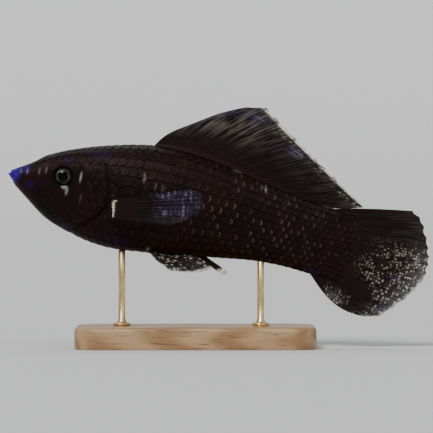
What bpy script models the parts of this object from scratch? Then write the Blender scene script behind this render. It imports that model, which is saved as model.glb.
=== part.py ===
# A black male sailfin molly, life size, held on a plain display stand.
# The fish is modelled along its own axis: x from the snout to the tail, z up, its left side at -y.
# One empty then pitches it nose up, as it swims. The tables are in hundredths of the standard length.
import math

import bmesh
import bpy
import numpy as np
from mathutils import Vector

# Driving dimensions, in metres
STANDARD_LENGTH = 0.0766
PITCH = math.radians(12.5)
PCT = STANDARD_LENGTH / 100
GAP = 0.0003
SHARP_ANGLE = math.radians(38)

# The body's outline and sections: distance from the snout, then height, width or squareness
TOP_LINE = [(0, 1.6), (3, 3.3), (6.3, 5.4), (10, 8.4), (15.5, 11.2), (22, 13.7), (30, 16.1), (41, 18.4),
            (50, 18.7), (62, 17.6), (76, 14.9), (90, 12.3), (101, 11.5)]
LOW_LINE = [(0, -0.6), (3, -3.0), (7, -5.9), (13, -10.0), (20, -12.7), (30, -14.9), (37, -15.1),
            (44, -14.3), (52, -13.6), (61, -12.0), (70, -10.6), (78, -9.5), (88, -9.2), (96, -9.7),
            (101, -10.0)]
HALF_WIDTH = [(0, 2.6), (2, 3.5), (5, 4.6), (10, 5.9), (16, 7.0), (22, 7.8), (30, 8.5), (38, 8.7),
              (46, 8.3), (55, 7.4), (66, 6.0), (78, 4.4), (90, 2.9), (101, 1.5)]
WIDEST_LEVEL = [(0, 0.5), (5, 0.4), (10, 0.8), (16, 1.2), (28, 2.2), (44, 3.2), (62, 3.4), (80, 2.2),
                (101, 1.0)]
ROOF_SQUARENESS = [(0, 2.4), (6, 2.7), (14, 2.8), (22, 2.4), (34, 2.05), (60, 1.9), (101, 2.2)]
BELLY_SQUARENESS = [(0, 2.4), (8, 2.1), (18, 1.9), (30, 2.0), (42, 2.2), (60, 2.0), (101, 2.2)]
NOSE_ROUND = 2.6 * PCT
RING_HALF = 18

# Where the body is parted: height, then distance from the snout
GILL_EDGE = [(-15, 18.5), (-13, 20.0), (-10, 24.0), (-6, 28.6), (-2, 30.7), (2, 30.5), (6, 29.2),
             (10, 28.0), (17, 27.5)]
TAIL_CUT = [(-15, 70.0), (0, 72.5), (17, 70.0)]
CAUDAL_BASE = [(-12, 96.5), (-5, 99.6), (2, 100.6), (8, 99.8), (13, 98.5)]
HEAD_RINGS = 22
HEAD_RING_EASE = 1.6
TRUNK_RINGS = 17
TAIL_RINGS = 10

# Gill covers, as plates set into the head: share down the front edge, then distance from the snout
COVER_FRONT = [(0.0, 21.6), (0.35, 22.6), (0.7, 21.4), (1.0, 18.6)]
COVER_FROM, COVER_TO = math.radians(64), math.radians(140)
COVER_GRID = (12, 5)
COVER_PROUD = 0.00025
COVER_DEEP = 0.0011
COVER_BEVEL = 0.00012
COVER_CORNER = (0.2, 0.4)
COVER_SPAN = 0.0095
POCKET_PAST = 0.0024

# Eyes, nostrils and mouth
EYE_AT = (16.3 * PCT, 3.3 * PCT)
EYE_RADIUS = 0.0024
EYE_FLAT = 0.72
EYE_PROUD = 0.00062
NOSTRILS = [(7.6 * PCT, math.radians(44), 0.00030), (9.4 * PCT, math.radians(46), 0.00036)]
LIP_RADIUS = 0.00052
LIP_APART = 0.00044
MOUTH_LINE_RADIUS = 0.00019
MOUTH_LINE_OUT = 0.0004
MOUTH_STEPS = 10
MOUTH_THIN = 0.38
MOUTH_HALF_WIDTH = 3.7 * PCT
MOUTH_DEPTH = 3.6 * PCT
MOUTH_DROP = 2.6 * PCT
MOUTH_FRONT = (0.76 * PCT, 1.0 * PCT)

# Fins
MEMBRANE_HALF = 0.00026
MARGIN_HALF = 0.00013
MARGIN_FROM = 0.88
ROOT_FLESH = 0.16
ROW_EASE = 1.15
RAY_RIDGE = 0.00019
RIDGE_SHARE = 0.2
RAY_POINT = 0.00035
WHOLE_RAY = (1.0, 0.3, 0.0, 0.3)
FORKED_RAY = (0.15, 1.0, 0.0, 1.0)
FORK_LENGTH = 0.25

DORSAL_FROM, DORSAL_TO = 41.0 * PCT, 89.5 * PCT
DORSAL_PEAK = (72.3, 36.9)
DORSAL_LEADING = (60.5, 36.8)
DORSAL_TRAILING = (89.5, 25.0)
DORSAL_REAR = (108.0, 14.6)
DORSAL_LEADING_FROM = 0.24
DORSAL_RAYS = 14
DORSAL_PEAK_RAY = 3
DORSAL_ROOT_HALF = 0.0006
DORSAL_BRANCH = 0.5
DORSAL_BOW = 0.0007
DORSAL_WAVE = 0.0006

CAUDAL_ROOT = (10.9, -9.7)
CAUDAL_MARGIN = [(0, 122.3, 15.9), (0.07, 124.6, 14.6), (0.28, 129.0, 6.9), (0.48, 130.6, 0.2),
                 (0.63, 129.6, -5.0), (0.83, 123.4, -13.6), (0.94, 118.6, -17.8), (1, 114.6, -18.7)]
CAUDAL_RAYS = 14
CAUDAL_ROOT_HALF = 0.0009
CAUDAL_BRANCH = 0.35
CAUDAL_SWELL = (0.0003, 0.0021)
CAUDAL_WAVE = 0.0005

PECTORAL_UPPER = (32.3, -0.4)
PECTORAL_LOWER = (33.5, -6.0)
PECTORAL_MARGIN = [(0, 55.5, 8.0), (0.2, 58.6, 7.2), (0.45, 59.6, 3.6), (0.7, 57.0, -0.6), (1, 51.0, -4.2)]
PECTORAL_RAYS = 12
PECTORAL_ROOT_HALF = 0.0004
PECTORAL_FLARE = 0.0058
PECTORAL_STEM = (0.14, 0.0009)
PECTORAL_CUP = 0.0008
ROOT_CLEAR = GAP + 0.0004

PELVIC_RAYS = 7
PELVIC_ROOT_HALF = 0.00035
PELVIC_ROUND = (0.9, -0.7)
PELVIC_DROP = 0.0004
PELVIC_OUTER = ((46.4, 0.0023), (54.2, -17.8, 0.0038))
PELVIC_INNER = ((51.4, 0.0010), (67.0, -14.3, 0.0020))

GONOPODIUM_RAYS = 3
GONOPODIUM_ROOT_HALF = 0.0006
GONOPODIUM_FROM, GONOPODIUM_TO = 60.2 * PCT, 62.9 * PCT
GONOPODIUM_TIPS = ((70.6, -15.5), (71.4, -14.5))

# The stand, in the world's own axes
BASE_SIZE = (0.056, 0.034, 0.005)
BASE_CENTRE_X = -0.0055
BASE_CORNER = 0.006
BASE_EDGE = 0.0008
ROD_RADIUS = 0.0008
ROD_OVERRUN = 0.003
COLLAR_RADII = (0.0021, 0.0017)
COLLAR_HEIGHT = 0.0009
ROD_PLACES = (38.5 * PCT, 80.5 * PCT)
TAIL_CLEARANCE = 0.0022
MIDDLE_FROM_SNOUT = 0.0490


def smooth(table, at):
    """The smooth curve through a table's points, read at one place."""
    xs = np.array([row[0] for row in table], float)
    ys = np.array([row[1] for row in table], float)
    at = min(max(at, xs[0]), xs[-1])
    slopes = np.gradient(ys, xs)
    i = min(int(np.searchsorted(xs, at, side="right")) - 1, len(xs) - 2)
    h = xs[i + 1] - xs[i]
    t = (at - xs[i]) / h
    return float(
        ys[i] * (2 * t**3 - 3 * t**2 + 1)
        + ys[i + 1] * (3 * t**2 - 2 * t**3)
        + h * slopes[i] * (t**3 - 2 * t**2 + t)
        + h * slopes[i + 1] * (t**3 - t**2)
    )


def sized(table, at):
    """A table in hundredths of the standard length, read and returned in metres."""
    return smooth(table, at / PCT) * PCT


def bezier(start, control, end, t):
    return tuple((1 - t) ** 2 * a + 2 * t * (1 - t) * b + t * t * c for a, b, c in zip(start, control, end))


def body_point(x, phi, outwards=0.0):
    """The skin at x, turned phi from the back (0) over the left side to the belly (pi)."""
    level = sized(WIDEST_LEVEL, x)
    cosine, sine = math.cos(phi), math.sin(phi)
    blunt = math.sqrt(max(0.0, 1 - (1 - min(max(x, 0.0) / NOSE_ROUND, 1)) ** 2))
    if cosine >= 0:
        reach = sized(TOP_LINE, x) - level
        power = 2 / smooth(ROOF_SQUARENESS, x / PCT)
    else:
        reach = sized(LOW_LINE, x) - level
        power = 2 / smooth(BELLY_SQUARENESS, x / PCT)
    rise = reach * abs(cosine) ** power * blunt
    wide = sized(HALF_WIDTH, x) * abs(sine) ** power * blunt
    point = Vector((x, -math.copysign(wide, sine), level + rise))
    if outwards:
        point += body_normal(x, phi) * outwards
    return point


def body_normal(x, phi):
    step = 0.0002
    along = body_point(x + step, phi) - body_point(x - step, phi)
    round_it = body_point(x, phi + 0.02) - body_point(x, phi - 0.02)
    normal = along.cross(round_it).normalized()
    outward = Vector((0, -math.sin(phi), math.cos(phi)))
    return normal if normal.dot(outward) > 0 else -normal


def cut_place(table, phi, shift=0.0):
    """Where the skin line at phi meets a cut that is drawn in the side view."""
    x = smooth(table, 0) * PCT
    for _ in range(30):
        x = 0.5 * x + 0.5 * (smooth(table, body_point(x, phi).z / PCT) * PCT + shift)
    return x


def flank_angle(x, z):
    """The angle at which the left flank has height z."""
    low, high = 0.0, math.pi
    for _ in range(40):
        middle = (low + high) / 2
        low, high = (middle, high) if body_point(x, middle).z > z else (low, middle)
    return (low + high) / 2


def material(name, colour, roughness, metallic=0.0):
    made = bpy.data.materials.new(name)
    made.use_nodes = True
    shader = made.node_tree.nodes["Principled BSDF"]
    shader.inputs["Base Color"].default_value = (*colour, 1)
    shader.inputs["Roughness"].default_value = roughness
    shader.inputs["Metallic"].default_value = metallic
    return made


def smooth_sides(mesh):
    mesh.shade_smooth()
    mesh.set_sharp_from_angle(angle=SHARP_ANGLE)


def finish(name, bm, look, parent=None, origin=(0, 0, 0)):
    """Turns a bmesh into a named object whose origin is at the given place."""
    bmesh.ops.translate(bm, vec=-Vector(origin), verts=bm.verts)
    bmesh.ops.recalc_face_normals(bm, faces=bm.faces)
    mesh = bpy.data.meshes.new(name)
    bm.to_mesh(mesh)
    bm.free()
    smooth_sides(mesh)
    if look:
        mesh.materials.append(look)
    made = bpy.data.objects.new(name, mesh)
    made.location = origin
    made.parent = parent
    bpy.context.scene.collection.objects.link(made)
    return made


def body_angles():
    """Angles of one ring: down the left side, then up the right."""
    half = [math.pi * i / RING_HALF for i in range(RING_HALF + 1)]
    return half + [-angle for angle in reversed(half[1:-1])]


def cap_ring(bm, ring):
    """Closes a ring with strips from its left side to its right."""
    count = len(ring)
    for i in range(count // 2):
        corners = [ring[i], ring[i + 1], ring[count - i - 1], ring[(count - i) % count]]
        bm.faces.new(list(dict.fromkeys(corners)))


def body_length(start, end, rings, shift=0.0, outwards=0.0, ease=1.0):
    """One length of the body between two cuts. With no start it closes at the snout's tip.
    shift moves the start along the body, and outwards swells the whole length."""
    bm = bmesh.new()
    angles = body_angles()
    starts = [cut_place(start, abs(a), shift) if start else 0.0 for a in angles]
    ends = [cut_place(end, abs(a)) for a in angles]
    rows = []
    for r in range(0 if start else 1, rings + 1):
        share = (r / rings) ** ease
        places = [a + (b - a) * share for a, b in zip(starts, ends)]
        rows.append([bm.verts.new(body_point(x, phi, outwards)) for x, phi in zip(places, angles)])
    for near, far in zip(rows, rows[1:]):
        for i in range(len(angles)):
            j = (i + 1) % len(angles)
            bm.faces.new((near[i], near[j], far[j], far[i]))
    cap_ring(bm, rows[-1])
    if start:
        cap_ring(bm, rows[0])
    else:
        tip = bm.verts.new(body_point(0.0, 0.0))
        for i in range(len(angles)):
            bm.faces.new((tip, rows[0][i], rows[0][(i + 1) % len(angles)]))
    bmesh.ops.triangulate(bm, faces=bm.faces)
    return bm


def tube(points, radii, sides=10):
    """A closed round tube through points in the fish's frame."""
    bm = bmesh.new()
    rows = []
    for i, (point, radius) in enumerate(zip(points, radii)):
        ahead = Vector(points[min(i + 1, len(points) - 1)]) - Vector(points[max(i - 1, 0)])
        turn = ahead.to_track_quat("Z", "Y").to_matrix()
        ring = [turn @ Vector((math.cos(a), math.sin(a), 0)) * radius + Vector(point)
                for a in (2 * math.pi * k / sides for k in range(sides))]
        rows.append([bm.verts.new(p) for p in ring])
    for near, far in zip(rows, rows[1:]):
        for k in range(sides):
            bm.faces.new((near[k], near[(k + 1) % sides], far[(k + 1) % sides], far[k]))
    bm.faces.new(rows[0])
    bm.faces.new(rows[-1])
    bmesh.ops.triangulate(bm, faces=bm.faces)
    bmesh.ops.recalc_face_normals(bm, faces=bm.faces)
    return bm


def largest_body(mesh):
    """Keeps only the largest closed surface of a mesh."""
    bm = bmesh.new()
    bm.from_mesh(mesh)
    bm.faces.ensure_lookup_table()
    left, groups = set(bm.faces), []
    while left:
        group, edge = set(), [left.pop()]
        while edge:
            face = edge.pop()
            group.add(face)
            for linked in face.edges:
                for other in linked.link_faces:
                    if other in left:
                        left.discard(other)
                        edge.append(other)
        groups.append(group)
    groups.sort(key=lambda g: sum(f.calc_area() for f in g))
    loose = [f for g in groups[:-1] for f in g]
    bmesh.ops.delete(bm, geom=loose, context="FACES")
    bmesh.ops.triangulate(bm, faces=bm.faces)
    bm.to_mesh(mesh)
    bm.free()


def combine(target, others, operation):
    """Joins or cuts the target by a collection of closed meshes, applies it and removes them."""
    group = bpy.data.collections.new("pieces")
    bpy.context.scene.collection.children.link(group)
    for other in others:
        bpy.context.scene.collection.objects.unlink(other)
        group.objects.link(other)
    change = target.modifiers.new("combine", "BOOLEAN")
    change.operation = operation
    change.solver = "EXACT"
    change.operand_type = "COLLECTION"
    change.collection = group
    bpy.context.view_layer.update()
    graph = bpy.context.evaluated_depsgraph_get()
    made = bpy.data.meshes.new_from_object(target.evaluated_get(graph))
    target.modifiers.clear()
    target.data = made
    largest_body(made)
    for other in list(group.objects):
        bpy.data.objects.remove(other)
    bpy.data.collections.remove(group)


def cover_plate(side, grow=0.0):
    """A gill cover between the cheek and the gill edge. With grow it is the pocket for one:
    that much larger, and open past the skin and the gill edge."""
    bm = bmesh.new()
    rows, columns = COVER_GRID
    margin = grow / COVER_SPAN
    past = POCKET_PAST if grow else 0.0
    bevel = 0.0 if grow else COVER_BEVEL
    sheets = []
    for is_outer in (True, False):
        grid = []
        for r in range(rows + 1):
            share = 0.5 - 0.5 * math.cos(math.pi * r / rows)
            across = share * (1 + 2 * margin) - margin
            phi = COVER_FROM + (COVER_TO - COVER_FROM) * across
            rear = cut_place(GILL_EDGE, phi)
            front = smooth(COVER_FRONT, across) * PCT - grow
            near_end = max(0.0, 1 - min(share, 1 - share) / COVER_CORNER[0])
            front += (rear - front) * COVER_CORNER[1] * (1 - math.sqrt(1 - near_end**2))
            grid.append([])
            for c in range(columns + 1):
                on_rim = c == 0 or r in (0, rows)
                lift = COVER_PROUD + past - bevel * on_rim if is_outer else -COVER_DEEP - grow
                point = body_point(front + (rear + past - front) * c / columns, phi, lift)
                point.y *= side
                grid[-1].append(bm.verts.new(point))
        sheets.append(grid)
    close_sheets(bm, sheets)
    bmesh.ops.recalc_face_normals(bm, faces=bm.faces)
    return bm


def ball(centre, radii, facing, detail=16):
    """A flattened ball whose last radius runs the way it faces."""
    bm = bmesh.new()
    bmesh.ops.create_uvsphere(bm, u_segments=detail, v_segments=detail // 2 + 2, radius=1)
    bmesh.ops.scale(bm, vec=radii, verts=bm.verts)
    turned = facing.to_track_quat("Z", "Y").to_matrix()
    bmesh.ops.rotate(bm, matrix=turned, verts=bm.verts)
    bmesh.ops.translate(bm, vec=centre, verts=bm.verts)
    bmesh.ops.triangulate(bm, faces=bm.faces)
    return bm


def eye_place(side):
    """The middle of an eyeball, sunk under the cheek, and the way the eye looks."""
    x, z = EYE_AT
    phi = flank_angle(x, z)
    facing = body_normal(x, phi)
    centre = body_point(x, phi) - facing * (EYE_RADIUS * EYE_FLAT - EYE_PROUD)
    mirrored = Vector((1, side, 1))
    return centre * mirrored, facing * mirrored


def make_eye(name, side, look, parent):
    centre, facing = eye_place(side)
    bm = ball(centre, (EYE_RADIUS, EYE_RADIUS, EYE_RADIUS * EYE_FLAT), facing)
    finish(name, bm, look, parent, centre)


def mouth_arc(drop, radius, out=0.0):
    """A tube round the front of the mouth, at a height off the mouth's line, thinner at its corners."""
    points, radii = [], []
    for i in range(MOUTH_STEPS + 1):
        turn = (i / MOUTH_STEPS * 2 - 1) * math.pi / 2
        back = 1 - math.cos(turn)
        points.append(Vector((
            MOUTH_FRONT[0] + MOUTH_DEPTH * back - out * math.cos(turn),
            (MOUTH_HALF_WIDTH + out) * math.sin(turn),
            MOUTH_FRONT[1] - MOUTH_DROP * back + drop * math.cos(turn),
        )))
        radii.append(radius * (1 - MOUTH_THIN * back))
    return tube(points, radii)


def make_head(look, parent):
    head = finish("head", body_length(None, GILL_EDGE, HEAD_RINGS, ease=HEAD_RING_EASE), look, parent)
    lips = [finish("lip", mouth_arc(drop, LIP_RADIUS), None, parent) for drop in (LIP_APART, -LIP_APART)]
    combine(head, lips, "UNION")
    cutters = [finish("mouth_line", mouth_arc(0, MOUTH_LINE_RADIUS, MOUTH_LINE_OUT), None, parent)]
    for side in (1, -1):
        centre, facing = eye_place(side)
        socket = (EYE_RADIUS + GAP, EYE_RADIUS + GAP, EYE_RADIUS * EYE_FLAT + GAP)
        cutters.append(finish("socket", ball(centre, socket, facing, 24), None, parent))
        cutters.append(finish("pocket", cover_plate(side, GAP), None, parent))
        for x, phi, radius in NOSTRILS:
            hole = body_point(x, phi)
            hole.y *= side
            pit = ball(hole, (radius, radius, radius), Vector((0, 0, 1)), 10)
            cutters.append(finish("nostril", pit, None, parent))
    combine(head, cutters, "DIFFERENCE")
    smooth_sides(head.data)


def close_sheets(bm, sheets):
    """Faces two grids of corners, split into triangles alike on both, and walls their rim."""
    front, back = sheets
    rows, columns = len(front) - 1, len(front[0]) - 1
    for grid in sheets:
        for r in range(rows):
            for c in range(columns):
                a, b, d, e = grid[r][c], grid[r][c + 1], grid[r + 1][c + 1], grid[r + 1][c]
                bm.faces.new((a, b, d))
                bm.faces.new((a, d, e))
    rim = [(0, c) for c in range(columns)] + [(r, columns) for r in range(rows)]
    rim += [(rows, c) for c in range(columns, 0, -1)] + [(r, 0) for r in range(rows, 0, -1)]
    for (r0, c0), (r1, c1) in zip(rim, rim[1:] + rim[:1]):
        a, b, d, e = front[r0][c0], front[r1][c1], back[r1][c1], back[r0][c0]
        bm.faces.new((a, b, d))
        bm.faces.new((a, d, e))


def ray_profile(part, per_ray, u, branch):
    """How much of a ridge stands at one column: all on a ray, or on its two forks past the branch."""
    if per_ray == 2:
        return 1.0 - part
    split = min(max((u - branch) / FORK_LENGTH, 0), 1)
    whole = WHOLE_RAY[part]
    return whole + (FORKED_RAY[part] - whole) * split


def fin(name, base, tip, rays, rows, root_half, look, parent, shifts=(), branch=None):
    """A thin fin between a base line and its ray tips, with its rays raised in both faces.
    base and tip take the share across the fin, and each shift bends its rays or its sheet.
    Where a branch is given, each ray forks past that share of its length."""
    per_ray = 4 if branch else 2
    columns = (rays - 1) * per_ray
    root_span = (Vector(base(1)) - Vector(base(0))).length
    tip_span = (Vector(tip(1)) - Vector(tip(0))).length
    centre, half = [], []
    for r in range(rows + 1):
        u = (r / rows) ** ROW_EASE
        thinned = max(0.0, (u - MARGIN_FROM) / (1 - MARGIN_FROM))
        plate = MEMBRANE_HALF + (MARGIN_HALF - MEMBRANE_HALF) * thinned
        flesh = (root_half - MEMBRANE_HALF) * max(0, 1 - u / ROOT_FLESH) ** 1.5
        apart = (root_span * (1 - u) + tip_span * u) / (rays - 1)
        ridge = min(RAY_RIDGE, RIDGE_SHARE * apart) * (1 - 0.5 * thinned)
        centre.append([])
        half.append([])
        for c in range(columns + 1):
            v, part = c / columns, c % per_ray
            start, end = Vector(base(v)), Vector(tip(v))
            if part == per_ray // 2:
                end -= (end - start).normalized() * RAY_POINT
            point = start.lerp(end, u)
            for shift in shifts:
                point += Vector(shift(u, v))
            centre[-1].append(point)
            half[-1].append(plate + flesh + ridge * ray_profile(part, per_ray, u, branch))
    bm = bmesh.new()
    sheets = []
    for side in (1, -1):
        grid = []
        for r in range(rows + 1):
            grid.append([])
            for c in range(columns + 1):
                along = centre[min(r + 1, rows)][c] - centre[max(r - 1, 0)][c]
                across = centre[r][min(c + 1, columns)] - centre[r][max(c - 1, 0)]
                normal = along.cross(across).normalized()
                grid[-1].append(bm.verts.new(centre[r][c] + normal * half[r][c] * side))
        sheets.append(grid)
    close_sheets(bm, sheets)
    finish(name, bm, look, parent, base(0))


def dorsal_base(v):
    x = DORSAL_FROM + (DORSAL_TO - DORSAL_FROM) * v
    return (x, 0, body_point(x, 0).z + GAP)


def dorsal_tip(v):
    peak_at = DORSAL_PEAK_RAY / (DORSAL_RAYS - 1)
    if v < peak_at:
        front = (DORSAL_FROM / PCT, dorsal_base(0)[2] / PCT)
        share = DORSAL_LEADING_FROM + (1 - DORSAL_LEADING_FROM) * v / peak_at
        x, z = bezier(front, DORSAL_LEADING, DORSAL_PEAK, share)
    else:
        x, z = bezier(DORSAL_PEAK, DORSAL_TRAILING, DORSAL_REAR, (v - peak_at) / (1 - peak_at))
    return (x * PCT, 0, z * PCT)


def dorsal_bow(u, v):
    """The front rays stand steep and then sweep back."""
    lift = DORSAL_BOW * (1 - v) ** 1.5 * math.sin(math.pi * u)
    return (-lift * 0.7, 0, lift)


def dorsal_wave(u, v):
    return (0, DORSAL_WAVE * u * math.sin(2 * math.pi * (1.1 * v + 0.1)), 0)


def caudal_base(v):
    top, low = CAUDAL_ROOT
    z = top + (low - top) * v
    return (smooth(CAUDAL_BASE, z) * PCT + GAP, 0, z * PCT)


def caudal_tip(v):
    x = smooth([(row[0], row[1]) for row in CAUDAL_MARGIN], v)
    z = smooth([(row[0], row[2]) for row in CAUDAL_MARGIN], v)
    return (x * PCT, 0, z * PCT)


def caudal_bow(u, v):
    """The lowest rays bulge down, and the highest a little up."""
    up, down = CAUDAL_SWELL
    return (0, 0, math.sin(math.pi * u) * (up * (1 - v) ** 3 - down * v**3))


def caudal_wave(u, v):
    return (0, CAUDAL_WAVE * u * math.sin(2 * math.pi * (v - 0.15)), 0)


def pectoral_lines(side):
    """The base, the tips and the bend of a pectoral fin, on the left (1) or the right (-1)."""
    def base(v):
        x, z = ((a + (b - a) * v) * PCT for a, b in zip(PECTORAL_UPPER, PECTORAL_LOWER))
        return body_point(x, flank_angle(x, z), ROOT_CLEAR) * Vector((1, side, 1))

    def tip(v):
        x = smooth([(row[0], row[1]) for row in PECTORAL_MARGIN], v) * PCT
        z = smooth([(row[0], row[2]) for row in PECTORAL_MARGIN], v) * PCT
        return (x, base(v).y - PECTORAL_FLARE * side, z)

    def bend(u, v):
        run, out = PECTORAL_STEM
        rise = min(u / run, 1)
        cup = PECTORAL_CUP * u * (1 - (2 * v - 1) ** 2)
        return (0, -side * (out * rise * rise * (3 - 2 * rise) + cup), 0)

    return base, tip, bend


def belly_point(x, out):
    """The place on the left of the belly at x, as far out from the middle as given."""
    low, high = math.pi / 2, math.pi
    for _ in range(40):
        middle = (low + high) / 2
        low, high = (middle, high) if -body_point(x, middle).y > out else (low, middle)
    return body_point(x, low, ROOT_CLEAR)


def pelvic_lines(side):
    """The base, the tips and the bend of a pelvic fin, on the left (1) or the right (-1)."""
    def base(v):
        x, out = (a + (b - a) * v for a, b in zip(PELVIC_OUTER[0], PELVIC_INNER[0]))
        return belly_point(x * PCT, out) * Vector((1, side, 1))

    def tip(v):
        x, z, out = (a + (b - a) * v for a, b in zip(PELVIC_OUTER[1], PELVIC_INNER[1]))
        bulge = 1 - (2 * v - 1) ** 2
        return ((x + PELVIC_ROUND[0] * bulge) * PCT, -out * side, (z + PELVIC_ROUND[1] * bulge) * PCT)

    def bend(u, v):
        return (0, 0, -PELVIC_DROP * math.sin(math.pi * min(u * 1.4, 1)))

    return base, tip, bend


def gonopodium_base(v):
    x = GONOPODIUM_FROM + (GONOPODIUM_TO - GONOPODIUM_FROM) * v
    return (x, 0, body_point(x, math.pi).z - GAP)


def gonopodium_tip(v):
    (x0, z0), (x1, z1) = GONOPODIUM_TIPS
    return ((x0 + (x1 - x0) * v) * PCT, 0, (z0 + (z1 - z0) * v) * PCT)


def make_base(look):
    bm = bmesh.new()
    bmesh.ops.create_cube(bm, size=1)
    bmesh.ops.scale(bm, vec=BASE_SIZE, verts=bm.verts)
    upright = [e for e in bm.edges if abs(e.verts[0].co.z - e.verts[1].co.z) > BASE_SIZE[2] / 2]
    bmesh.ops.bevel(bm, geom=upright, offset=BASE_CORNER, segments=5, profile=0.5, affect="EDGES")
    top = [e for e in bm.edges if all(v.co.z > 0 for v in e.verts)]
    bmesh.ops.bevel(bm, geom=top, offset=BASE_EDGE, segments=2, profile=0.5, affect="EDGES")
    bmesh.ops.triangulate(bm, faces=bm.faces)
    base = finish("stand_base", bm, look)
    base.location = (BASE_CENTRE_X, 0, BASE_SIZE[2] / 2)


def upright(radii, height, foot, segments):
    """A round post that stands on the point given."""
    low, high = radii
    bm = bmesh.new()
    bmesh.ops.create_cone(bm, cap_ends=True, segments=segments, radius1=low, radius2=high, depth=height)
    bmesh.ops.translate(bm, vec=(foot[0], foot[1], foot[2] + height / 2), verts=bm.verts)
    return bm


def make_rod(name, place, start, end, look, axis):
    """A collared rod from the base to the belly, cut to the belly's own shape with the gap between."""
    under = axis.matrix_world @ body_point(place, math.pi)
    foot = (under.x, 0, BASE_SIZE[2] + GAP)
    height = under.z + ROD_OVERRUN - foot[2]
    rod = finish(name, upright((ROD_RADIUS, ROD_RADIUS), height, foot, 20), look, None, foot)
    bpy.context.view_layer.update()
    collar = finish("collar", upright(COLLAR_RADII, COLLAR_HEIGHT, foot, 24), None)
    combine(rod, [collar], "UNION")
    belly = finish("belly", body_length(start, end, TRUNK_RINGS, outwards=GAP), None, axis)
    combine(rod, [belly], "DIFFERENCE")
    smooth_sides(rod.data)


def tail_lowest():
    """How far the caudal fin's lowest ray tip lies under the snout, once pitched."""
    tips = [caudal_tip(i / 40) for i in range(41)]
    return min(-x * math.sin(PITCH) + z * math.cos(PITCH) for x, _, z in tips)


def main():
    for old in list(bpy.data.objects):
        bpy.data.objects.remove(old)
    skin = material("black_skin", (0.018, 0.013, 0.014), 0.42)
    cover = material("gill_cover", (0.026, 0.015, 0.018), 0.38)
    fins = material("black_fin", (0.022, 0.018, 0.021), 0.5)
    clear_fin = material("smoky_fin", (0.07, 0.07, 0.09), 0.45)
    eye = material("eye", (0.015, 0.014, 0.016), 0.12)
    wood = material("base_wood", (0.42, 0.27, 0.15), 0.5)
    brass = material("rod_metal", (0.7, 0.52, 0.28), 0.3, 1.0)

    axis = bpy.data.objects.new("fish_axis", None)
    bpy.context.scene.collection.objects.link(axis)
    axis.location = (-MIDDLE_FROM_SNOUT, 0, BASE_SIZE[2] + TAIL_CLEARANCE - tail_lowest())
    axis.rotation_euler = (0, PITCH, 0)
    bpy.context.view_layer.update()

    make_head(skin, axis)
    trunk = body_length(GILL_EDGE, TAIL_CUT, TRUNK_RINGS, shift=GAP)
    finish("trunk", trunk, skin, axis)
    peduncle = body_length(TAIL_CUT, CAUDAL_BASE, TAIL_RINGS, shift=GAP)
    finish("tail_peduncle", peduncle, skin, axis)
    fin("dorsal_fin", dorsal_base, dorsal_tip, DORSAL_RAYS, 10, DORSAL_ROOT_HALF, fins, axis,
        (dorsal_bow, dorsal_wave), DORSAL_BRANCH)
    fin("caudal_fin", caudal_base, caudal_tip, CAUDAL_RAYS, 11, CAUDAL_ROOT_HALF, fins, axis,
        (caudal_bow, caudal_wave), CAUDAL_BRANCH)
    fin("gonopodium", gonopodium_base, gonopodium_tip, GONOPODIUM_RAYS, 7, GONOPODIUM_ROOT_HALF, fins, axis)
    for name, side in (("left", 1), ("right", -1)):
        make_eye(f"eye_{name}", side, eye, axis)
        finish(f"gill_cover_{name}", cover_plate(side), cover, axis)
        base, tip, bend = pectoral_lines(side)
        fin(f"pectoral_fin_{name}", base, tip, PECTORAL_RAYS, 9, PECTORAL_ROOT_HALF, clear_fin, axis, (bend,))
        base, tip, bend = pelvic_lines(side)
        fin(f"pelvic_fin_{name}", base, tip, PELVIC_RAYS, 7, PELVIC_ROOT_HALF, clear_fin, axis, (bend,))
    make_base(wood)
    make_rod("stand_rod_front", ROD_PLACES[0], GILL_EDGE, TAIL_CUT, brass, axis)
    make_rod("stand_rod_rear", ROD_PLACES[1], TAIL_CUT, CAUDAL_BASE, brass, axis)


main()
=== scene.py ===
# Looks of a life-size black male sailfin molly on its display stand.
# The fish is worked out along its own axis: x runs from the snout to the tail in hundredths of the
# standard length, and phi turns from the back (0) over the left side to the belly (pi).
import math

import bmesh
import bpy
import numpy as np
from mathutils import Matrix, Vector


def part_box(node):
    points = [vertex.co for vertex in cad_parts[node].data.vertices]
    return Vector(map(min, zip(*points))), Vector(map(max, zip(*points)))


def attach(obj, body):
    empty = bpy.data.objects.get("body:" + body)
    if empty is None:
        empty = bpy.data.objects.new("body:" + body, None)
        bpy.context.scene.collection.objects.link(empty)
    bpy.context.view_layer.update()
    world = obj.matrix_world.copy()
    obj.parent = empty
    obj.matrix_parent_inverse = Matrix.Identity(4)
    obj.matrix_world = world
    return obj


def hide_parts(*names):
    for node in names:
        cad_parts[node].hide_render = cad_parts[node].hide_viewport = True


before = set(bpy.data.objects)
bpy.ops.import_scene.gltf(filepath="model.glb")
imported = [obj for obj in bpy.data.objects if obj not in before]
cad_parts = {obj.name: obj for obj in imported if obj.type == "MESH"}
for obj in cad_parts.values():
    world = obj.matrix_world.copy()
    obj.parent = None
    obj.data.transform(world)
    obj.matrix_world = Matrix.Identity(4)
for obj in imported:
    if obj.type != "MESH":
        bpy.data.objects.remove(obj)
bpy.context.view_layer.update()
print("frame loaded:", len(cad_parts), "nodes")

fish = {
    "standardLength": 0.0766,
    "pitch": math.radians(12.5),  # nose up
    "snout": (-0.0490, 0.0, 0.0402281),
    "photoPixel": 0.0002331,  # metres in one pixel of the photo
    "snoutPixel": (9, 175),
}
pct = fish["standardLength"] / 100
pitchCos, pitchSin = math.cos(fish["pitch"]), math.sin(fish["pitch"])
sides = {"left": 1, "right": -1}

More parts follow.
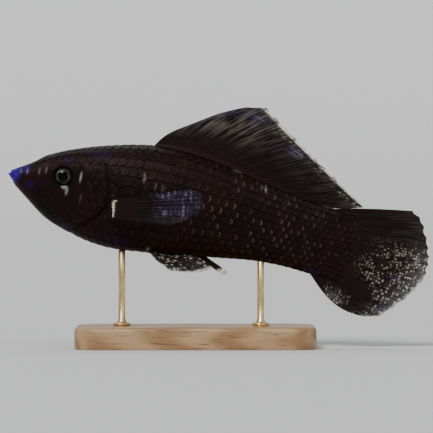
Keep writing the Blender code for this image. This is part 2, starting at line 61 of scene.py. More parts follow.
body = {
    "top": [(0, 1.6), (3, 3.3), (6.3, 5.4), (10, 8.4), (15.5, 11.2), (22, 13.7), (30, 16.1), (41, 18.4),
            (50, 18.7), (62, 17.6), (76, 14.9), (90, 12.3), (101, 11.5), (107.5, 11.6)],
    "low": [(0, -0.6), (3, -3.0), (7, -5.9), (13, -10.0), (20, -12.7), (30, -14.9), (37, -15.1), (44, -14.3),
            (52, -13.6), (61, -12.0), (70, -10.6), (78, -9.5), (88, -9.2), (96, -9.7), (101, -10.0),
            (107.5, -11.4)],
    "halfWidth": [(0, 2.6), (2, 3.5), (5, 4.6), (10, 5.9), (16, 7.0), (22, 7.8), (30, 8.5), (38, 8.7),
                  (46, 8.3), (55, 7.4), (66, 6.0), (78, 4.4), (90, 2.9), (101, 1.4), (103, 0.75),
                  (105, 0.28), (107.5, 0.0)],
    "widest": [(0, 0.5), (5, 0.4), (10, 0.8), (16, 1.2), (28, 2.2), (44, 3.2), (62, 3.4), (80, 2.2),
               (101, 1.0), (107.5, 0.8)],
    "roofSquare": [(0, 2.4), (6, 2.7), (14, 2.8), (22, 2.4), (34, 2.05), (60, 1.9), (101, 2.2)],
    "bellySquare": [(0, 2.4), (8, 2.1), (18, 1.9), (30, 2.0), (42, 2.2), (60, 2.0), (101, 2.2)],
    "noseRound": 2.6,
    "end": 107.5,
}


def smooth(table, at, column=1):
    # the smooth curve through a table's points, read at many places at once
    xs = np.array([row[0] for row in table], float)
    ys = np.array([row[column] for row in table], float)
    at = np.clip(at, xs[0], xs[-1])
    slopes = np.gradient(ys, xs)
    i = np.clip(np.searchsorted(xs, at, side="right") - 1, 0, len(xs) - 2)
    h = xs[i + 1] - xs[i]
    t = (at - xs[i]) / h
    return (ys[i] * (2 * t**3 - 3 * t**2 + 1) + ys[i + 1] * (3 * t**2 - 2 * t**3)
            + h * slopes[i] * (t**3 - 2 * t**2 + t) + h * slopes[i + 1] * (t**3 - t**2))


def ramp(low, high, at):
    t = np.clip((at - low) / (high - low), 0, 1)
    return t * t * (3 - 2 * t)


def hump(distance, width):
    return np.exp(-((distance / width) ** 2))


def lengths(vectors):
    return np.linalg.norm(vectors, axis=-1)


def unit(vectors):
    return vectors / np.maximum(lengths(vectors), 1e-12)[..., None]


def bodyPoints(x, phi):
    # the bare outline of the body in metres, in the fish's own frame
    level = smooth(body["widest"], x)
    cosine, sine = np.cos(phi), np.sin(phi)
    blunt = np.sqrt(np.clip(1 - (1 - np.clip(x / body["noseRound"], 0, 1)) ** 2, 0, 1))
    above = cosine >= 0
    reach = np.where(above, smooth(body["top"], x), smooth(body["low"], x)) - level
    power = 2 / np.where(above, smooth(body["roofSquare"], x), smooth(body["bellySquare"], x))
    rise = reach * np.abs(cosine) ** power * blunt
    wide = smooth(body["halfWidth"], x) * np.abs(sine) ** power * blunt
    return np.stack([x, -np.sign(sine) * wide, level + rise], -1) * pct


def leftPoints(x, phi):
    # the same outline, always on the left side
    points = bodyPoints(x, phi)
    points[..., 1] = -np.abs(points[..., 1])
    return points


def bodyNormals(x, phi):
    step, turnStep = 0.26, 0.02
    middle = np.clip(x, step, body["end"] - step)
    along = bodyPoints(middle + step, phi) - bodyPoints(middle - step, phi)
    around = bodyPoints(x, phi + turnStep) - bodyPoints(x, phi - turnStep)
    normals = unit(np.cross(along, around))
    outward = np.stack([np.zeros_like(phi), -np.sin(phi), np.cos(phi)], -1)
    facing = np.sign(np.sum(normals * outward, -1, keepdims=True))
    normals = normals * np.where(facing == 0, 1, facing)
    share = ramp(0.0, 0.5, x)[..., None]  # all the normals meet at the snout's tip
    return unit(normals * share + np.array([-1.0, 0.0, 0.0]) * (1 - share))


def toWorld(points):
    x, y, z = points[..., 0], points[..., 1], points[..., 2]
    turned = np.stack([x * pitchCos + z * pitchSin, y, z * pitchCos - x * pitchSin], -1)
    return turned + np.array(fish["snout"])


def atPixel(px, py):
    # where a place in the photo lies in the fish's side view, in hundredths
    across = (px - fish["snoutPixel"][0]) * fish["photoPixel"] / pct
    up = (fish["snoutPixel"][1] - py) * fish["photoPixel"] / pct
    return across * pitchCos - up * pitchSin, across * pitchSin + up * pitchCos


def bisected(x, low, high, isBefore):
    # the angle between low and high, at each x, where isBefore stops being true
    low, high = np.full_like(x, low, float), np.full_like(x, high, float)
    for _ in range(34):
        middle = (low + high) / 2
        before = isBefore(bodyPoints(x, middle))
        low, high = np.where(before, middle, low), np.where(before, high, middle)
    return (low + high) / 2


def flankAngle(x, z):
    # the angle at which the left flank has height z (hundredths)
    return bisected(x, 0, math.pi, lambda points: points[..., 2] > z * pct)


def linkPiece(name, data):
    made = bpy.data.objects.new(name, data)
    bpy.context.scene.collection.objects.link(made)
    return made


def keepPiece(name, mesh, slot, looks, *replaces):
    piece = linkPiece(name, mesh)
    for look in looks:
        mesh.materials.append(look)
    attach(piece, "root")
    if replaces:
        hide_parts(*replaces)
    return piece


def meshOf(bm, name):
    mesh = bpy.data.meshes.new(name)
    bm.to_mesh(mesh)
    bm.free()
    return mesh


def smoothMeshOf(bm, name):
    # the same, with its normals outward and smooth shading
    bmesh.ops.recalc_face_normals(bm, faces=bm.faces)
    mesh = meshOf(bm, name)
    mesh.shade_smooth()
    return mesh


def sheetTemplate(name, rows, columns, closed=False):
    # a unit sheet in x and y, with a back at z = -1 if closed, to be laid on a surface
    bm = bmesh.new()
    bm.loops.layers.uv.new("sheet")
    bmesh.ops.create_grid(bm, x_segments=rows, y_segments=columns, size=0.5, calc_uvs=True)
    bmesh.ops.translate(bm, vec=(0.5, 0.5, 0), verts=bm.verts)
    if closed:
        rim = bmesh.ops.extrude_face_region(bm, geom=bm.faces[:])
        moved = [v for v in rim["geom"] if isinstance(v, bmesh.types.BMVert)]
        bmesh.ops.translate(bm, vec=(0, 0, -1), verts=moved)
        bmesh.ops.recalc_face_normals(bm, faces=bm.faces)
    return meshOf(bm, name)


def tubeTemplate(name, rings, sides):
    # a unit tube along z with closed ends, cut into rings
    bm = bmesh.new()
    bm.loops.layers.uv.new("sheet")
    bmesh.ops.create_cone(bm, cap_ends=True, segments=sides, radius1=1, radius2=1, depth=1, calc_uvs=True)
    bmesh.ops.translate(bm, vec=(0, 0, 0.5), verts=bm.verts)
    for i in range(1, rings):
        everything = bm.verts[:] + bm.edges[:] + bm.faces[:]
        bmesh.ops.bisect_plane(bm, geom=everything, dist=1e-6, plane_co=(0, 0, i / rings), plane_no=(0, 0, 1))
    return meshOf(bm, name)


def spun(profile, steps, distance):
    # a profile of (radius, height) pairs turned round z
    bm = bmesh.new()
    points = [bm.verts.new((r, 0, z)) for r, z in profile]
    edges = [bm.edges.new(pair) for pair in zip(points, points[1:])]
    bmesh.ops.spin(bm, geom=points + edges, cent=(0, 0, 0), axis=(0, 0, 1), angle=2 * math.pi, steps=steps,
                   use_merge=True, use_duplicate=False)
    bmesh.ops.remove_doubles(bm, verts=bm.verts, dist=distance)
    return bm


def repeated(template, count):
    # joined copies of a small mesh, one after the other
    holder = linkPiece("holder", template)
    array = holder.modifiers.new("array", "ARRAY")
    array.count = count
    array.use_relative_offset = False
    array.use_constant_offset = True
    array.constant_offset_displace = (0, 0, 0)
    mesh = bpy.data.meshes.new_from_object(holder.evaluated_get(bpy.context.evaluated_depsgraph_get()))
    bpy.data.objects.remove(holder)
    return mesh


def coordinates(mesh):
    flat = np.empty(len(mesh.vertices) * 3, np.float32)
    mesh.vertices.foreach_get("co", flat)
    return flat.reshape(-1, 3).astype(float)


def setCoordinates(mesh, points):
    mesh.vertices.foreach_set("co", points.astype(np.float32).ravel())
    mesh.update()


def setValues(mesh, **values):
    for name, numbers in values.items():
        layer = mesh.attributes.get(name) or mesh.attributes.new(name, "FLOAT", "POINT")
        layer.data.foreach_set("value", np.ascontiguousarray(numbers, dtype=np.float32).ravel())


def setUvs(mesh, name, us, vs):
    # a UV map from one pair of numbers for each vertex
    layer = mesh.uv_layers.get(name) or mesh.uv_layers.new(name=name)
    corners = np.empty(len(mesh.loops), np.int32)
    mesh.loops.foreach_get("vertex_index", corners)
    layer.data.foreach_set("uv", np.stack([us[corners], vs[corners]], -1).astype(np.float32).ravel())


def welded(mesh, distance=1e-6):
    bm = bmesh.new()
    bm.from_mesh(mesh)
    bmesh.ops.remove_doubles(bm, verts=bm.verts, dist=distance)
    bmesh.ops.recalc_face_normals(bm, faces=bm.faces)
    bm.to_mesh(mesh)
    bm.free()
    mesh.shade_smooth()
    return mesh


# Materials are wired with the small helpers below, always in the newest material's tree
wiring = {"tree": None}


def node(kind, inputs=None, output=0, **settings):
    made = wiring["tree"].nodes.new(kind)
    for key, value in settings.items():
        setattr(made, key, value)
    for key, value in (inputs or {}).items():
        if isinstance(value, bpy.types.NodeSocket):
            wiring["tree"].links.new(value, made.inputs[key])
        else:
            made.inputs[key].default_value = value
    return made.outputs[output]


def math2(operation, a, b=0.0, clamp=False):
    return node("ShaderNodeMath", {0: a, 1: b}, operation=operation, use_clamp=clamp)


def times(a, b, clamp=False):
    return math2("MULTIPLY", a, b, clamp)


def rampNode(value, low, high, start=0.0, end=1.0):
    return node("ShaderNodeMapRange", {"Value": value, "From Min": low, "From Max": high,
                                       "To Min": start, "To Max": end}, interpolation_type="SMOOTHSTEP")


def blend(factor, a, b):
    # a and b are sockets or plain (r, g, b) tones
    a, b = (colour(*tone) if isinstance(tone, tuple) else tone for tone in (a, b))
    return node("ShaderNodeMix", {0: factor, 6: a, 7: b}, output=2, data_type="RGBA")


def colour(r, g, b):
    return (r, g, b, 1.0)


def objectPlace():
    return node("ShaderNodeTexCoord", output="Object")


def stretched(vector, scale, turn=(0.0, 0.0, 0.0)):
    return node("ShaderNodeMapping", {"Vector": vector, "Scale": scale, "Rotation": turn})


def uvParts(name):
    # the two numbers of a UV map
    split = node("ShaderNodeSeparateXYZ", {0: node("ShaderNodeUVMap", uv_map=name)}).node
    return split.outputs[0], split.outputs[1]


def attribute(name):
    return node("ShaderNodeAttribute", output="Fac", attribute_name=name)


def noise(vector, scale, detail=3.0, roughness=0.5):
    return node("ShaderNodeTexNoise",
                {"Vector": vector, "Scale": scale, "Detail": detail, "Roughness": roughness})


def newMaterial(name, **values):
    made = bpy.data.materials.new(name)
    made.use_nodes = True
    wiring["tree"] = made.node_tree
    shader = made.node_tree.nodes["Principled BSDF"]
    for key, value in values.items():
        shader.inputs[key.replace("_", " ")].default_value = value
    return made, shader


def feed(shader, **sockets):
    for key, socket in sockets.items():
        wiring["tree"].links.new(socket, shader.inputs[key.replace("_", " ")])


def bump(height, distance, normal=None):
    inputs = {"Height": height, "Distance": distance, "Strength": 1.0}
    if normal:
        inputs["Normal"] = normal
    return node("ShaderNodeBump", inputs, output="Normal")


# Skin relief: mouth, nostrils, eye sockets, gill covers and the pectoral bases
face = {
    "mouthFront": (0.76, 1.0), "mouthHalfWidth": 3.7, "mouthDepth": 3.6, "mouthDrop": 2.6,
    "lipOut": 0.00022, "lipApart": 0.00042, "lipWidth": 0.00038, "cleft": 0.00030, "cleftWidth": 0.00013,
    "lipFade": (0.0007, 0.00045), "chinFold": (0.0017, 0.0003, 0.00010),  # the fold's drop, width and depth
    "nostrils": [(7.6, math.radians(44), 0.00030), (9.4, math.radians(46), 0.00036)],
    "nostrilRim": 0.00007, "nostrilDepth": 0.00034,
    "eye": (16.3, 3.3), "eyeRadius": 0.0024, "eyeFlat": 0.72, "eyeProud": 0.00062,
    "orbitRim": 0.00016, "orbitGroove": 0.00006, "socketDepth": 0.0013,
    "bareTo": (11.0, 3.5, 7.0),  # where scales start on the back, and how much later beside it and below
}
gill = {
    "edge": [(-15, 18.5), (-13, 20.0), (-10, 24.0), (-6, 28.6), (-2, 30.7), (2, 30.5), (6, 29.2), (10, 28.0),
             (17, 27.5)],
    "cheekLine": [(-12.5, 15.0), (-10, 18.4), (-6, 21.6), (-1, 23.2), (4, 22.9), (8, 21.0), (10, 19.0)],
    "coverLine": [(-12, 19.6), (-9, 22.4), (-4, 24.9), (2, 25.6), (7, 24.6), (10, 23.6)],
    "proud": 0.00026, "proudWidth": 0.0036, "slit": 0.00034, "slitAt": 0.0002, "slitWidth": 0.0009,
    "groove": 0.00013,
    "nape": (0.90, 1.15), "throat": (2.48, 2.72),  # the angles between which it starts and ends
}
pectoralRoot = {"upper": (32.3, -0.4), "lower": (33.5, -6.0), "pad": 0.00042, "padWidth": 0.0010}
coatDepth = 0.00015

eyeX, eyeZ = (np.array([value]) for value in face["eye"])
eyePhi = flankAngle(eyeX, eyeZ)
eyeSurface, eyeFacing = bodyPoints(eyeX, eyePhi)[0], bodyNormals(eyeX, eyePhi)[0]


def gillSpan(turn):
    # 1 on the side of the head that the gill cover takes up, 0 over the nape and the throat
    return ramp(*gill["nape"], turn) * (1 - ramp(*gill["throat"], turn))


def eyeDistance(points):
    # distance from the left eye's axis, for points on the left side
    away = points - eyeSurface
    along = away @ eyeFacing
    return lengths(away - along[..., None] * eyeFacing)


def mouthRelief(points):
    turns = np.linspace(0, math.pi / 2, 40)
    back = 1 - np.cos(turns)
    arc = np.stack([face["mouthFront"][0] + face["mouthDepth"] * back,
                    -face["mouthHalfWidth"] * np.sin(turns),
                    face["mouthFront"][1] - face["mouthDrop"] * back], -1) * pct
    relief = np.zeros(len(points))
    near = np.flatnonzero(points[:, 0] < 9 * pct)
    away = points[near, None, :] - arc[None]
    flat = lengths(away[..., :2])
    closest = np.argmin(flat + 0.35 * np.abs(away[..., 2]), axis=1)
    pick = np.arange(len(near))
    height, reach = away[pick, closest, 2], flat[pick, closest]
    wide, fadeWidth = face["lipFade"]
    fade = hump(np.maximum(reach - wide, 0), fadeWidth) * (1 - 0.55 * back[closest])
    lips = hump(np.abs(height) - face["lipApart"], face["lipWidth"]) * face["lipOut"]
    cleft = hump(height, face["cleftWidth"]) * face["cleft"]
    drop, foldWidth, depth = face["chinFold"]
    relief[near] = (lips - cleft - hump(height + drop, foldWidth) * depth) * fade
    return relief


def cheekShare(x, z):
    # 1 in front of the gill cover's cheek line
    return 1 - ramp(0.0, 0.7, x - smooth(gill["cheekLine"], z))


def scaledShare(x, phi):
    # 1 where the skin carries scales, 0 on the snout, the jaws, the cheek and round the eye
    points, turn = leftPoints(x, phi), np.abs(phi)
    z = points[:, 2] / pct
    front, beside, below = face["bareTo"]
    share = ramp(-1.0, 1.0, x - front - beside * ramp(0.9, 1.35, turn) - below * ramp(2.0, 2.5, turn))
    share *= ramp(1.20, 1.42, eyeDistance(points) / face["eyeRadius"])
    bare = np.maximum(0.5 * hump(x - smooth(gill["edge"], z), 0.6), cheekShare(x, z))
    return share * (1 - bare * gillSpan(turn))


def skinRelief(x, phi):
    # how far the skin stands off the bare outline, in metres
    points = leftPoints(x, phi)
    z = points[:, 2] / pct
    relief = mouthRelief(points)
    for nx, nphi, radius in face["nostrils"]:
        away = lengths(points - bodyPoints(np.array([nx]), np.array([nphi]))[0])
        relief += face["nostrilRim"] * hump(away - 1.5 * radius, 0.6 * radius)
        relief -= face["nostrilDepth"] * hump(away, 0.85 * radius)
    off = eyeDistance(points) / face["eyeRadius"]
    relief += face["orbitRim"] * hump(off - 1.04, 0.11) - face["orbitGroove"] * hump(off - 1.30, 0.12)
    relief -= face["socketDepth"] * (1 - ramp(0.82, 0.95, off))
    span = gillSpan(np.abs(phi))
    behind = (x - smooth(gill["edge"], z)) * pct
    cover = np.where(behind < 1e-6, gill["proud"] * hump(behind, gill["proudWidth"]),
                     -gill["slit"] * hump(behind - gill["slitAt"], gill["slitWidth"]))
    relief += cover * span
    for line, depth, width in ((gill["cheekLine"], 1.0, 0.00030), (gill["coverLine"], 0.55, 0.00026)):
        away = (x - smooth(line, z)) * pct
        relief += gill["groove"] * depth * (0.6 * hump(away + 1.9 * width, width) - hump(away, width)) * span
    (x0, z0), (x1, z1) = pectoralRoot["upper"], pectoralRoot["lower"]
    share = np.clip(((x - x0) * (x1 - x0) + (z - z0) * (z1 - z0)) / ((x1 - x0) ** 2 + (z1 - z0) ** 2), 0, 1)
    away = np.hypot(x - x0 - share * (x1 - x0), z - z0 - share * (z1 - z0)) * pct
    relief += pectoralRoot["pad"] * hump(away, pectoralRoot["padWidth"])
    closing = 1 - ramp(99.5, 104.0, x)  # over the tail fin's root the skin keeps the bare outline
    return relief - coatDepth * scaledShare(x, phi) * closing


def skinPoints(x, phi, lift=0.0):
    # the finished skin in the world, with an added height over it
    wrapped = (phi + math.pi) % (2 * math.pi) - math.pi
    height = skinRelief(x, wrapped) + lift
    return toWorld(bodyPoints(x, wrapped) + bodyNormals(x, wrapped) * height[:, None])


# Markings, shared by the skin and its scales: the blue is a painted blue-violet sheen and the pale marks are
# painted highlights
markings = {
    "blueTip": (1.9, 4.3),  # the fade of the blue, as distances from the snout's tip
    # blue marks (a painted blue-violet sheen) and pale marks (painted highlights): middle in the photo, half
    # length and half height in its pixels, strength
    "blue": [((25, 168), 5, 4, 0.55), ((30, 184), 5, 3, 0.18), ((62, 228), 7, 5, 0.16),
             ((69, 160), 4, 3, 0.22), ((118, 243), 14, 4, 0.12), ((101, 154), 12, 4, 0.09),
             ((310, 272), 6, 4, 0.14)],
    "pale": [((65, 187), 3.0, 1.9, 0.80), ((67.3, 190.5), 1.3, 4.2, 0.6), ((81.5, 177), 0.9, 5.0, 0.75),
             ((40, 171), 1.0, 3.4, 0.22), ((47, 170), 1.0, 3.4, 0.22), ((28, 171), 0.9, 3.0, 0.35),
             ((21.4, 171), 0.9, 2.2, 0.3), ((81, 198), 0.7, 5.0, 0.18), ((145, 178), 1.0, 4.0, 0.55),
             ((156, 186), 0.8, 4.0, 0.22), ((163, 189), 0.8, 4.0, 0.20), ((262, 187), 0.9, 2.6, 0.25),
             ((266, 189), 1.0, 3.6, 0.60), ((238, 171), 5.0, 1.3, 0.22), ((330, 207), 7.0, 1.0, 0.22),
             ((347, 208), 6.0, 1.0, 0.35), ((148, 249.5), 1.6, 2.0, 0.6)],
    "glintedFlank": (atPixel(258, 218), 26, 12),  # middle, half length and half height of the flank where the scales' free edges carry a stronger painted highlight
}


# how much painted blue sheen and painted highlight each place has, and how strong the painted highlight on
# the scales' free edges is
def markingValues(x, phi):
    # how blue, pale and flecked each place is
    z = bodyPoints(x, phi)[:, 2] / pct
    pixel = fish["photoPixel"] / pct
    values = {"blue": 1 - ramp(*markings["blueTip"], np.hypot(x, 0.8 * (z - 1.0))), "pale": np.zeros_like(x)}
    for name in ("blue", "pale"):
        for place, long, high, strength in markings[name]:
            cx, cz = atPixel(*place)
            away = np.hypot((x - cx) / (long * pixel), (z - cz) / (high * pixel))
            near = hump(away, 1.0) if name == "blue" else 1 - ramp(0.5, 1.45, away)
            values[name] = np.maximum(values[name], near * strength)
    (cx, cz), long, high = markings["glintedFlank"]
    values["edgeGlint"] = hump((x - cx) / long, 1.0) * hump((z - cz) / high, 1.0)
    return values


def skinColour(place):
    # near black, warmed with maroon, with the blue snout as a painted blue-violet sheen and the pale marks as
    # painted highlights
    broad = noise(place, 140.0, 3.0)
    fine = noise(place, 900.0, 2.0)
    warm = rampNode(broad, 0.38, 0.66)
    base = blend(warm, (0.0036, 0.0018, 0.0019), (0.0092, 0.0027, 0.0026))
    base = blend(rampNode(fine, 0.55, 0.75, 0.0, 0.5), base, (0.012, 0.0070, 0.0066))
    blue = blend(fine, (0.009, 0.0015, 0.12), (0.034, 0.006, 0.28))
    base = blend(attribute("blue"), base, blue)
    return blend(attribute("pale"), base, (0.30, 0.27, 0.26))


def fineScales():
    # rows of small scales, their free edges to the tail; the side UV holds x and height in hundredths
    x, rows = uvParts("side")
    stagger = times(math2("FLOORED_MODULO", math2("FLOOR", rows), 2.0), 0.5)
    off = math2("SUBTRACT", math2("FRACT", rows), 0.5)
    bent = times(times(off, off), 1.3)
    along = math2("ADD", times(x, 0.85), stagger)
    share = math2("FRACT", math2("ADD", along, bent))
    plate = times(rampNode(share, 0.0, 0.8), rampNode(share, 1.0, 0.84))
    seam = rampNode(math2("ABSOLUTE", off), 0.50, 0.34)
    return times(plate, seam)


skinSheen = colour(1.0, 0.68, 0.70)


def makeSkinMaterial():
    # fine pores, soft folds and, on the cheek, small scales
    made, shader = newMaterial("blackSkin", Roughness=0.42, Specular_IOR_Level=0.10, Specular_Tint=skinSheen)
    place = objectPlace()
    pores = node("ShaderNodeTexVoronoi", {"Vector": place, "Scale": 2600.0, "Smoothness": 1.0},
                 feature="SMOOTH_F1")
    folds = noise(place, 420.0, 4.0, 0.6)
    normal = bump(pores, 0.00003)
    normal = bump(folds, 0.00010, normal)
    normal = bump(times(fineScales(), attribute("cheek")), 0.00007, normal)
    rough = rampNode(folds, 0.3, 0.7, 0.34, 0.52)
    feed(shader, Base_Color=skinColour(place), Normal=normal, Roughness=rough)
    return made


def makeScaleMaterial():
    # growth rings and rays on each scale; sheet UV: u from its root to its free edge, v across it
    made, shader = newMaterial("blackScales", Roughness=0.35, Specular_IOR_Level=0.095,
                               Specular_Tint=skinSheen)
    place = objectPlace()
    along, across = uvParts("sheet")
    offset = math2("SUBTRACT", across, 0.5)
    focus = node("ShaderNodeCombineXYZ", {0: math2("SUBTRACT", along, 0.25), 1: offset})
    radius = node("ShaderNodeVectorMath", {0: focus}, output="Value", operation="LENGTH")
    rings = math2("SINE", times(radius, 210.0))
    rays = math2("SINE", times(across, 48.0))
    tint = attribute("tint")
    # each scale's free edge gets a painted highlight, strongest on the glinted flank and on scales of high
    # tint
    rim = rampNode(along, 0.82, 0.95)
    middle = rampNode(math2("ABSOLUTE", offset), 0.50, 0.34)
    edgeGlint = times(attribute("edgeGlint"), rampNode(tint, 0.30, 1.0))
    edge = times(times(rim, middle), math2("ADD", edgeGlint, 0.10), True)
    base = skinColour(place)
    shade = rampNode(tint, 0.0, 1.0, 0.0, 0.38)
    base = blend(shade, base, (0.0125, 0.0052, 0.0048))
    base = blend(edge, base, (0.085, 0.062, 0.055))
    grown = rampNode(along, 0.25, 0.60)
    worn = rampNode(noise(place, 1300.0, 2.0), 0.35, 0.65, 0.25, 1.0)
    normal = bump(times(times(rings, grown), worn), 0.000005)
    normal = bump(times(rays, grown), 0.000004, normal)
    normal = bump(noise(place, 700.0, 2.0), 0.00004, normal)
    feed(shader, Base_Color=base, Normal=normal)
    return made


skinLook = makeSkinMaterial()
scaleLook = makeScaleMaterial()

skin = {"headRows": 150, "bodyRows": 150, "columns": 208, "headEase": 1.75, "bodyEase": 1.12}


def linePlace(line, phi):
    # where the skin line at phi meets a line of the gill cover, in hundredths
    x = np.full_like(phi, 24.0)
    for _ in range(30):
        x = 0.5 * x + 0.5 * smooth(line, bodyPoints(x, phi)[:, 2] / pct)
    return x


def makeSkin():
    headRows, bodyRows = skin["headRows"], skin["bodyRows"]
    mesh = sheetTemplate("skin", headRows + bodyRows, skin["columns"])
    sheet = coordinates(mesh)
    row = sheet[:, 0] * (headRows + bodyRows)
    phi = (sheet[:, 1] * 2 - 1) * math.pi
    edge = linePlace(gill["edge"], np.abs(phi))
    head = np.clip(row / headRows, 0, 1) ** skin["headEase"] * edge
    tail = np.clip((row - headRows) / bodyRows, 0, 1) ** skin["bodyEase"] * (body["end"] - edge)
    x = head + tail
    z = bodyPoints(x, phi)[:, 2] / pct
    cheek = cheekShare(x, z) * gillSpan(np.abs(phi)) * ramp(11.0, 17.0, x)
    setCoordinates(mesh, skinPoints(x, phi))
    setValues(mesh, cheek=cheek, **markingValues(x, phi))
    setUvs(mesh, "side", x, z)
    keepPiece("skin", welded(mesh), "skin", [skinLook],
              "head", "gill_cover_left", "gill_cover_right", "trunk", "tail_peduncle")


makeSkin()
print("skin made")

# Scales: overlapping plates in staggered rows, sized by the body under them
coat = {
    "first": 10.5, "last": 105.6, "lastRound": 3.2,  # the coat ends in a curve over the tail fin
    "pitch": [(8, 1.7), (20, 2.1), (34, 2.6), (60, 2.7), (85, 2.3), (105, 1.9)],  # hundredths along
    "rowsAbove": 6, "rowsBelow": 7, "strayAlong": 0.05, "strayAcross": 0.03, "strayLift": 0.000012,
    "long": 1.75, "halfHigh": 0.63, "middle": 0.9,  # in pitches and rows
    # how rounded the free edge is, how much narrower it gets towards it, and the root's share of the width
    "rounding": 0.26, "taper": 0.30, "neck": 0.82,
    "kept": (0.8, 0.42),  # how far along a scale is judged, and the least share of coat that keeps it
    "gaps": {"cheekLine": (0.45, 0.35), "edge": (0.45, 0.15)},  # kept clear before and behind these lines
    "rootLift": -0.00009, "edgeLift": 0.00013, "thick": 0.00005, "curl": 0.00004,
    "firstLift": 0.35,  # the share of the lift that the first scales of the coat have
    "faces": (8, 6), "unwrapped": (0.03, 0.05, 0.9), "patch": 0.003,  # where the skin lies in the UV map
}


def turnTable(xs, fractions):
    # the angle at each fractional row, for every place along the body: row 0 is the back,
    # rowsAbove is the middle of the flank and the last row is the belly
    turns = np.linspace(0, math.pi, 241)
    grid = bodyPoints(np.repeat(xs, len(turns)), np.tile(turns, len(xs))).reshape(len(xs), len(turns), 3)
    steps = lengths(np.diff(grid, axis=1))
    arcs = np.concatenate([np.zeros((len(xs), 1)), np.cumsum(steps, axis=1)], axis=1)
    above, below = coat["rowsAbove"], coat["rowsBelow"]
    table = np.empty((len(xs), len(fractions)))
    for i, arc in enumerate(arcs):
        middle = np.interp(math.pi / 2, turns, arc)
        wanted = np.where(fractions < above, fractions / above * middle,
                          middle + (fractions - above) / below * (arc[-1] - middle))
        table[i] = np.interp(wanted, arc, turns)
    return table


lastRow = coat["rowsAbove"] + coat["rowsBelow"]
tableTurns = turnTable(np.linspace(0, body["end"], 212), np.linspace(0, lastRow, 261))


def turnOf(x, row):
    # rows past the back or the belly carry on over to the other side
    folded = np.abs(row)
    over = folded > lastRow
    folded = np.where(over, 2 * lastRow - folded, folded)
    lastX, lastR = (count - 1 for count in tableTurns.shape)
    fx = np.clip(x / body["end"] * lastX, 0, lastX - 0.001)
    fr = np.clip(folded / lastRow * lastR, 0, lastR - 0.001)
    ix, ir = fx.astype(int), fr.astype(int)
    tx, tr = fx - ix, fr - ir
    turn = (tableTurns[ix, ir] * (1 - tx) * (1 - tr) + tableTurns[ix + 1, ir] * tx * (1 - tr)
            + tableTurns[ix, ir + 1] * (1 - tx) * tr + tableTurns[ix + 1, ir + 1] * tx * tr)
    turn = np.where(over, 2 * math.pi - turn, turn)
    return np.where(row < 0, -turn, turn)


columnStarts = [coat["first"]]
while columnStarts[-1] < coat["last"] + 12:
    columnStarts.append(columnStarts[-1] + float(smooth(coat["pitch"], columnStarts[-1])))


def columnPlace(column):
    return np.interp(column, np.arange(len(columnStarts)), columnStarts)


def scaleRoots(rng):
    # one row of numbers for each scale on the left side: column, row, random tint and random lift
    roots = []
    for row in range(lastRow + 1):
        last = coat["last"] - coat["lastRound"] * ((row - coat["rowsAbove"]) / coat["rowsBelow"]) ** 2
        for column in range(len(columnStarts) - 3):
            at = column + 0.5 * (row % 2) + rng.uniform(-coat["strayAlong"], coat["strayAlong"])
            tint, lift = rng.random(), rng.normal(0, coat["strayLift"])
            if columnPlace(at) < last:
                stray = rng.uniform(-coat["strayAcross"], coat["strayAcross"]) * (0 < row < lastRow)
                roots.append((at, row + stray, tint, lift))
    roots = np.array(roots)
    along, least = coat["kept"]
    x = columnPlace(roots[:, 0] + along)
    return roots[scaledShare(x, turnOf(x, roots[:, 1])) > least]


def makeScales(name, side, roots):
    template = sheetTemplate("scale", *coat["faces"], closed=True)
    perScale = len(template.vertices)
    mesh = repeated(template, len(roots))
    sheet = coordinates(mesh).reshape(len(roots), perScale, 3)
    p, q, depth = sheet[..., 0], sheet[..., 1] * 2 - 1, sheet[..., 2]  # p along the scale, q across it
    column, row, tint, jitter = (roots[:, i:i + 1] for i in range(4))
    x = columnPlace(column + p * (1 - coat["rounding"] * q**2 * p**2) * coat["long"])
    neck = coat["neck"] + (1 - coat["neck"]) * ramp(0, 0.4, p)
    spread = coat["halfHigh"] * (1 - coat["taper"] * ramp(0.5, 1.0, p) * np.abs(q)) * neck
    turn = turnOf(x, row + q * spread)
    # on the side of the head scales end at the cheek and gill edges, or start behind them
    middleX = columnPlace(column + coat["middle"])
    spans = gillSpan(np.abs(turn))
    for line, (before, after) in coat["gaps"].items():
        edge = linePlace(gill[line], np.abs(turn.ravel())).reshape(turn.shape)
        behind = middleX > edge[:, perScale // 2, None]
        clipped = np.where(behind, np.maximum(x, edge + after), np.minimum(x, edge - before))
        x = np.where(spans[:, perScale // 2, None] > 0.5, clipped, x)
    # where the coat begins, its scales stand off the skin less
    begun = ramp(0.35, 1.0, scaledShare(middleX[:, 0], turnOf(middleX, row)[:, 0]))[:, None]
    raised = coat["edgeLift"] * (coat["firstLift"] + (1 - coat["firstLift"]) * begun)
    lift = coat["rootLift"] + (raised - coat["rootLift"]) * p**0.8 + jitter * p
    lift = lift - coat["curl"] * (np.abs(q) ** 2.5 * p + 1.5 * q**2 * (1 - p)) + depth * coat["thick"]
    flat, phi = x.ravel(), (turn * side).ravel()
    setCoordinates(mesh, skinPoints(flat, phi, lift.ravel()))
    # each scale is a small patch at its root's place on the unwrapped skin
    rootX = columnPlace(column)
    left, low, span = coat["unwrapped"]
    setUvs(mesh, "OFBake", (left + span * rootX / body["end"] + coat["patch"] * (p - 0.5)).ravel(),
           (low + span * turnOf(rootX, row) / math.pi + coat["patch"] * q / 2).ravel())
    setValues(mesh, tint=np.repeat(tint[:, 0], perScale), **markingValues(flat, phi))
    keepPiece(name, welded(mesh, 1e-9), "skin", [scaleLook])


leftRoots = scaleRoots(np.random.default_rng(11))
onFlank = (leftRoots[:, 1] > 0.5) & (leftRoots[:, 1] < lastRow - 0.5)
rightRoots = leftRoots[onFlank]  # the left side's piece has the rows along the back and the belly
makeScales("scales_left", 1, leftRoots)
makeScales("scales_right", -1, rightRoots)
print("scales made:", len(leftRoots) + len(rightRoots))


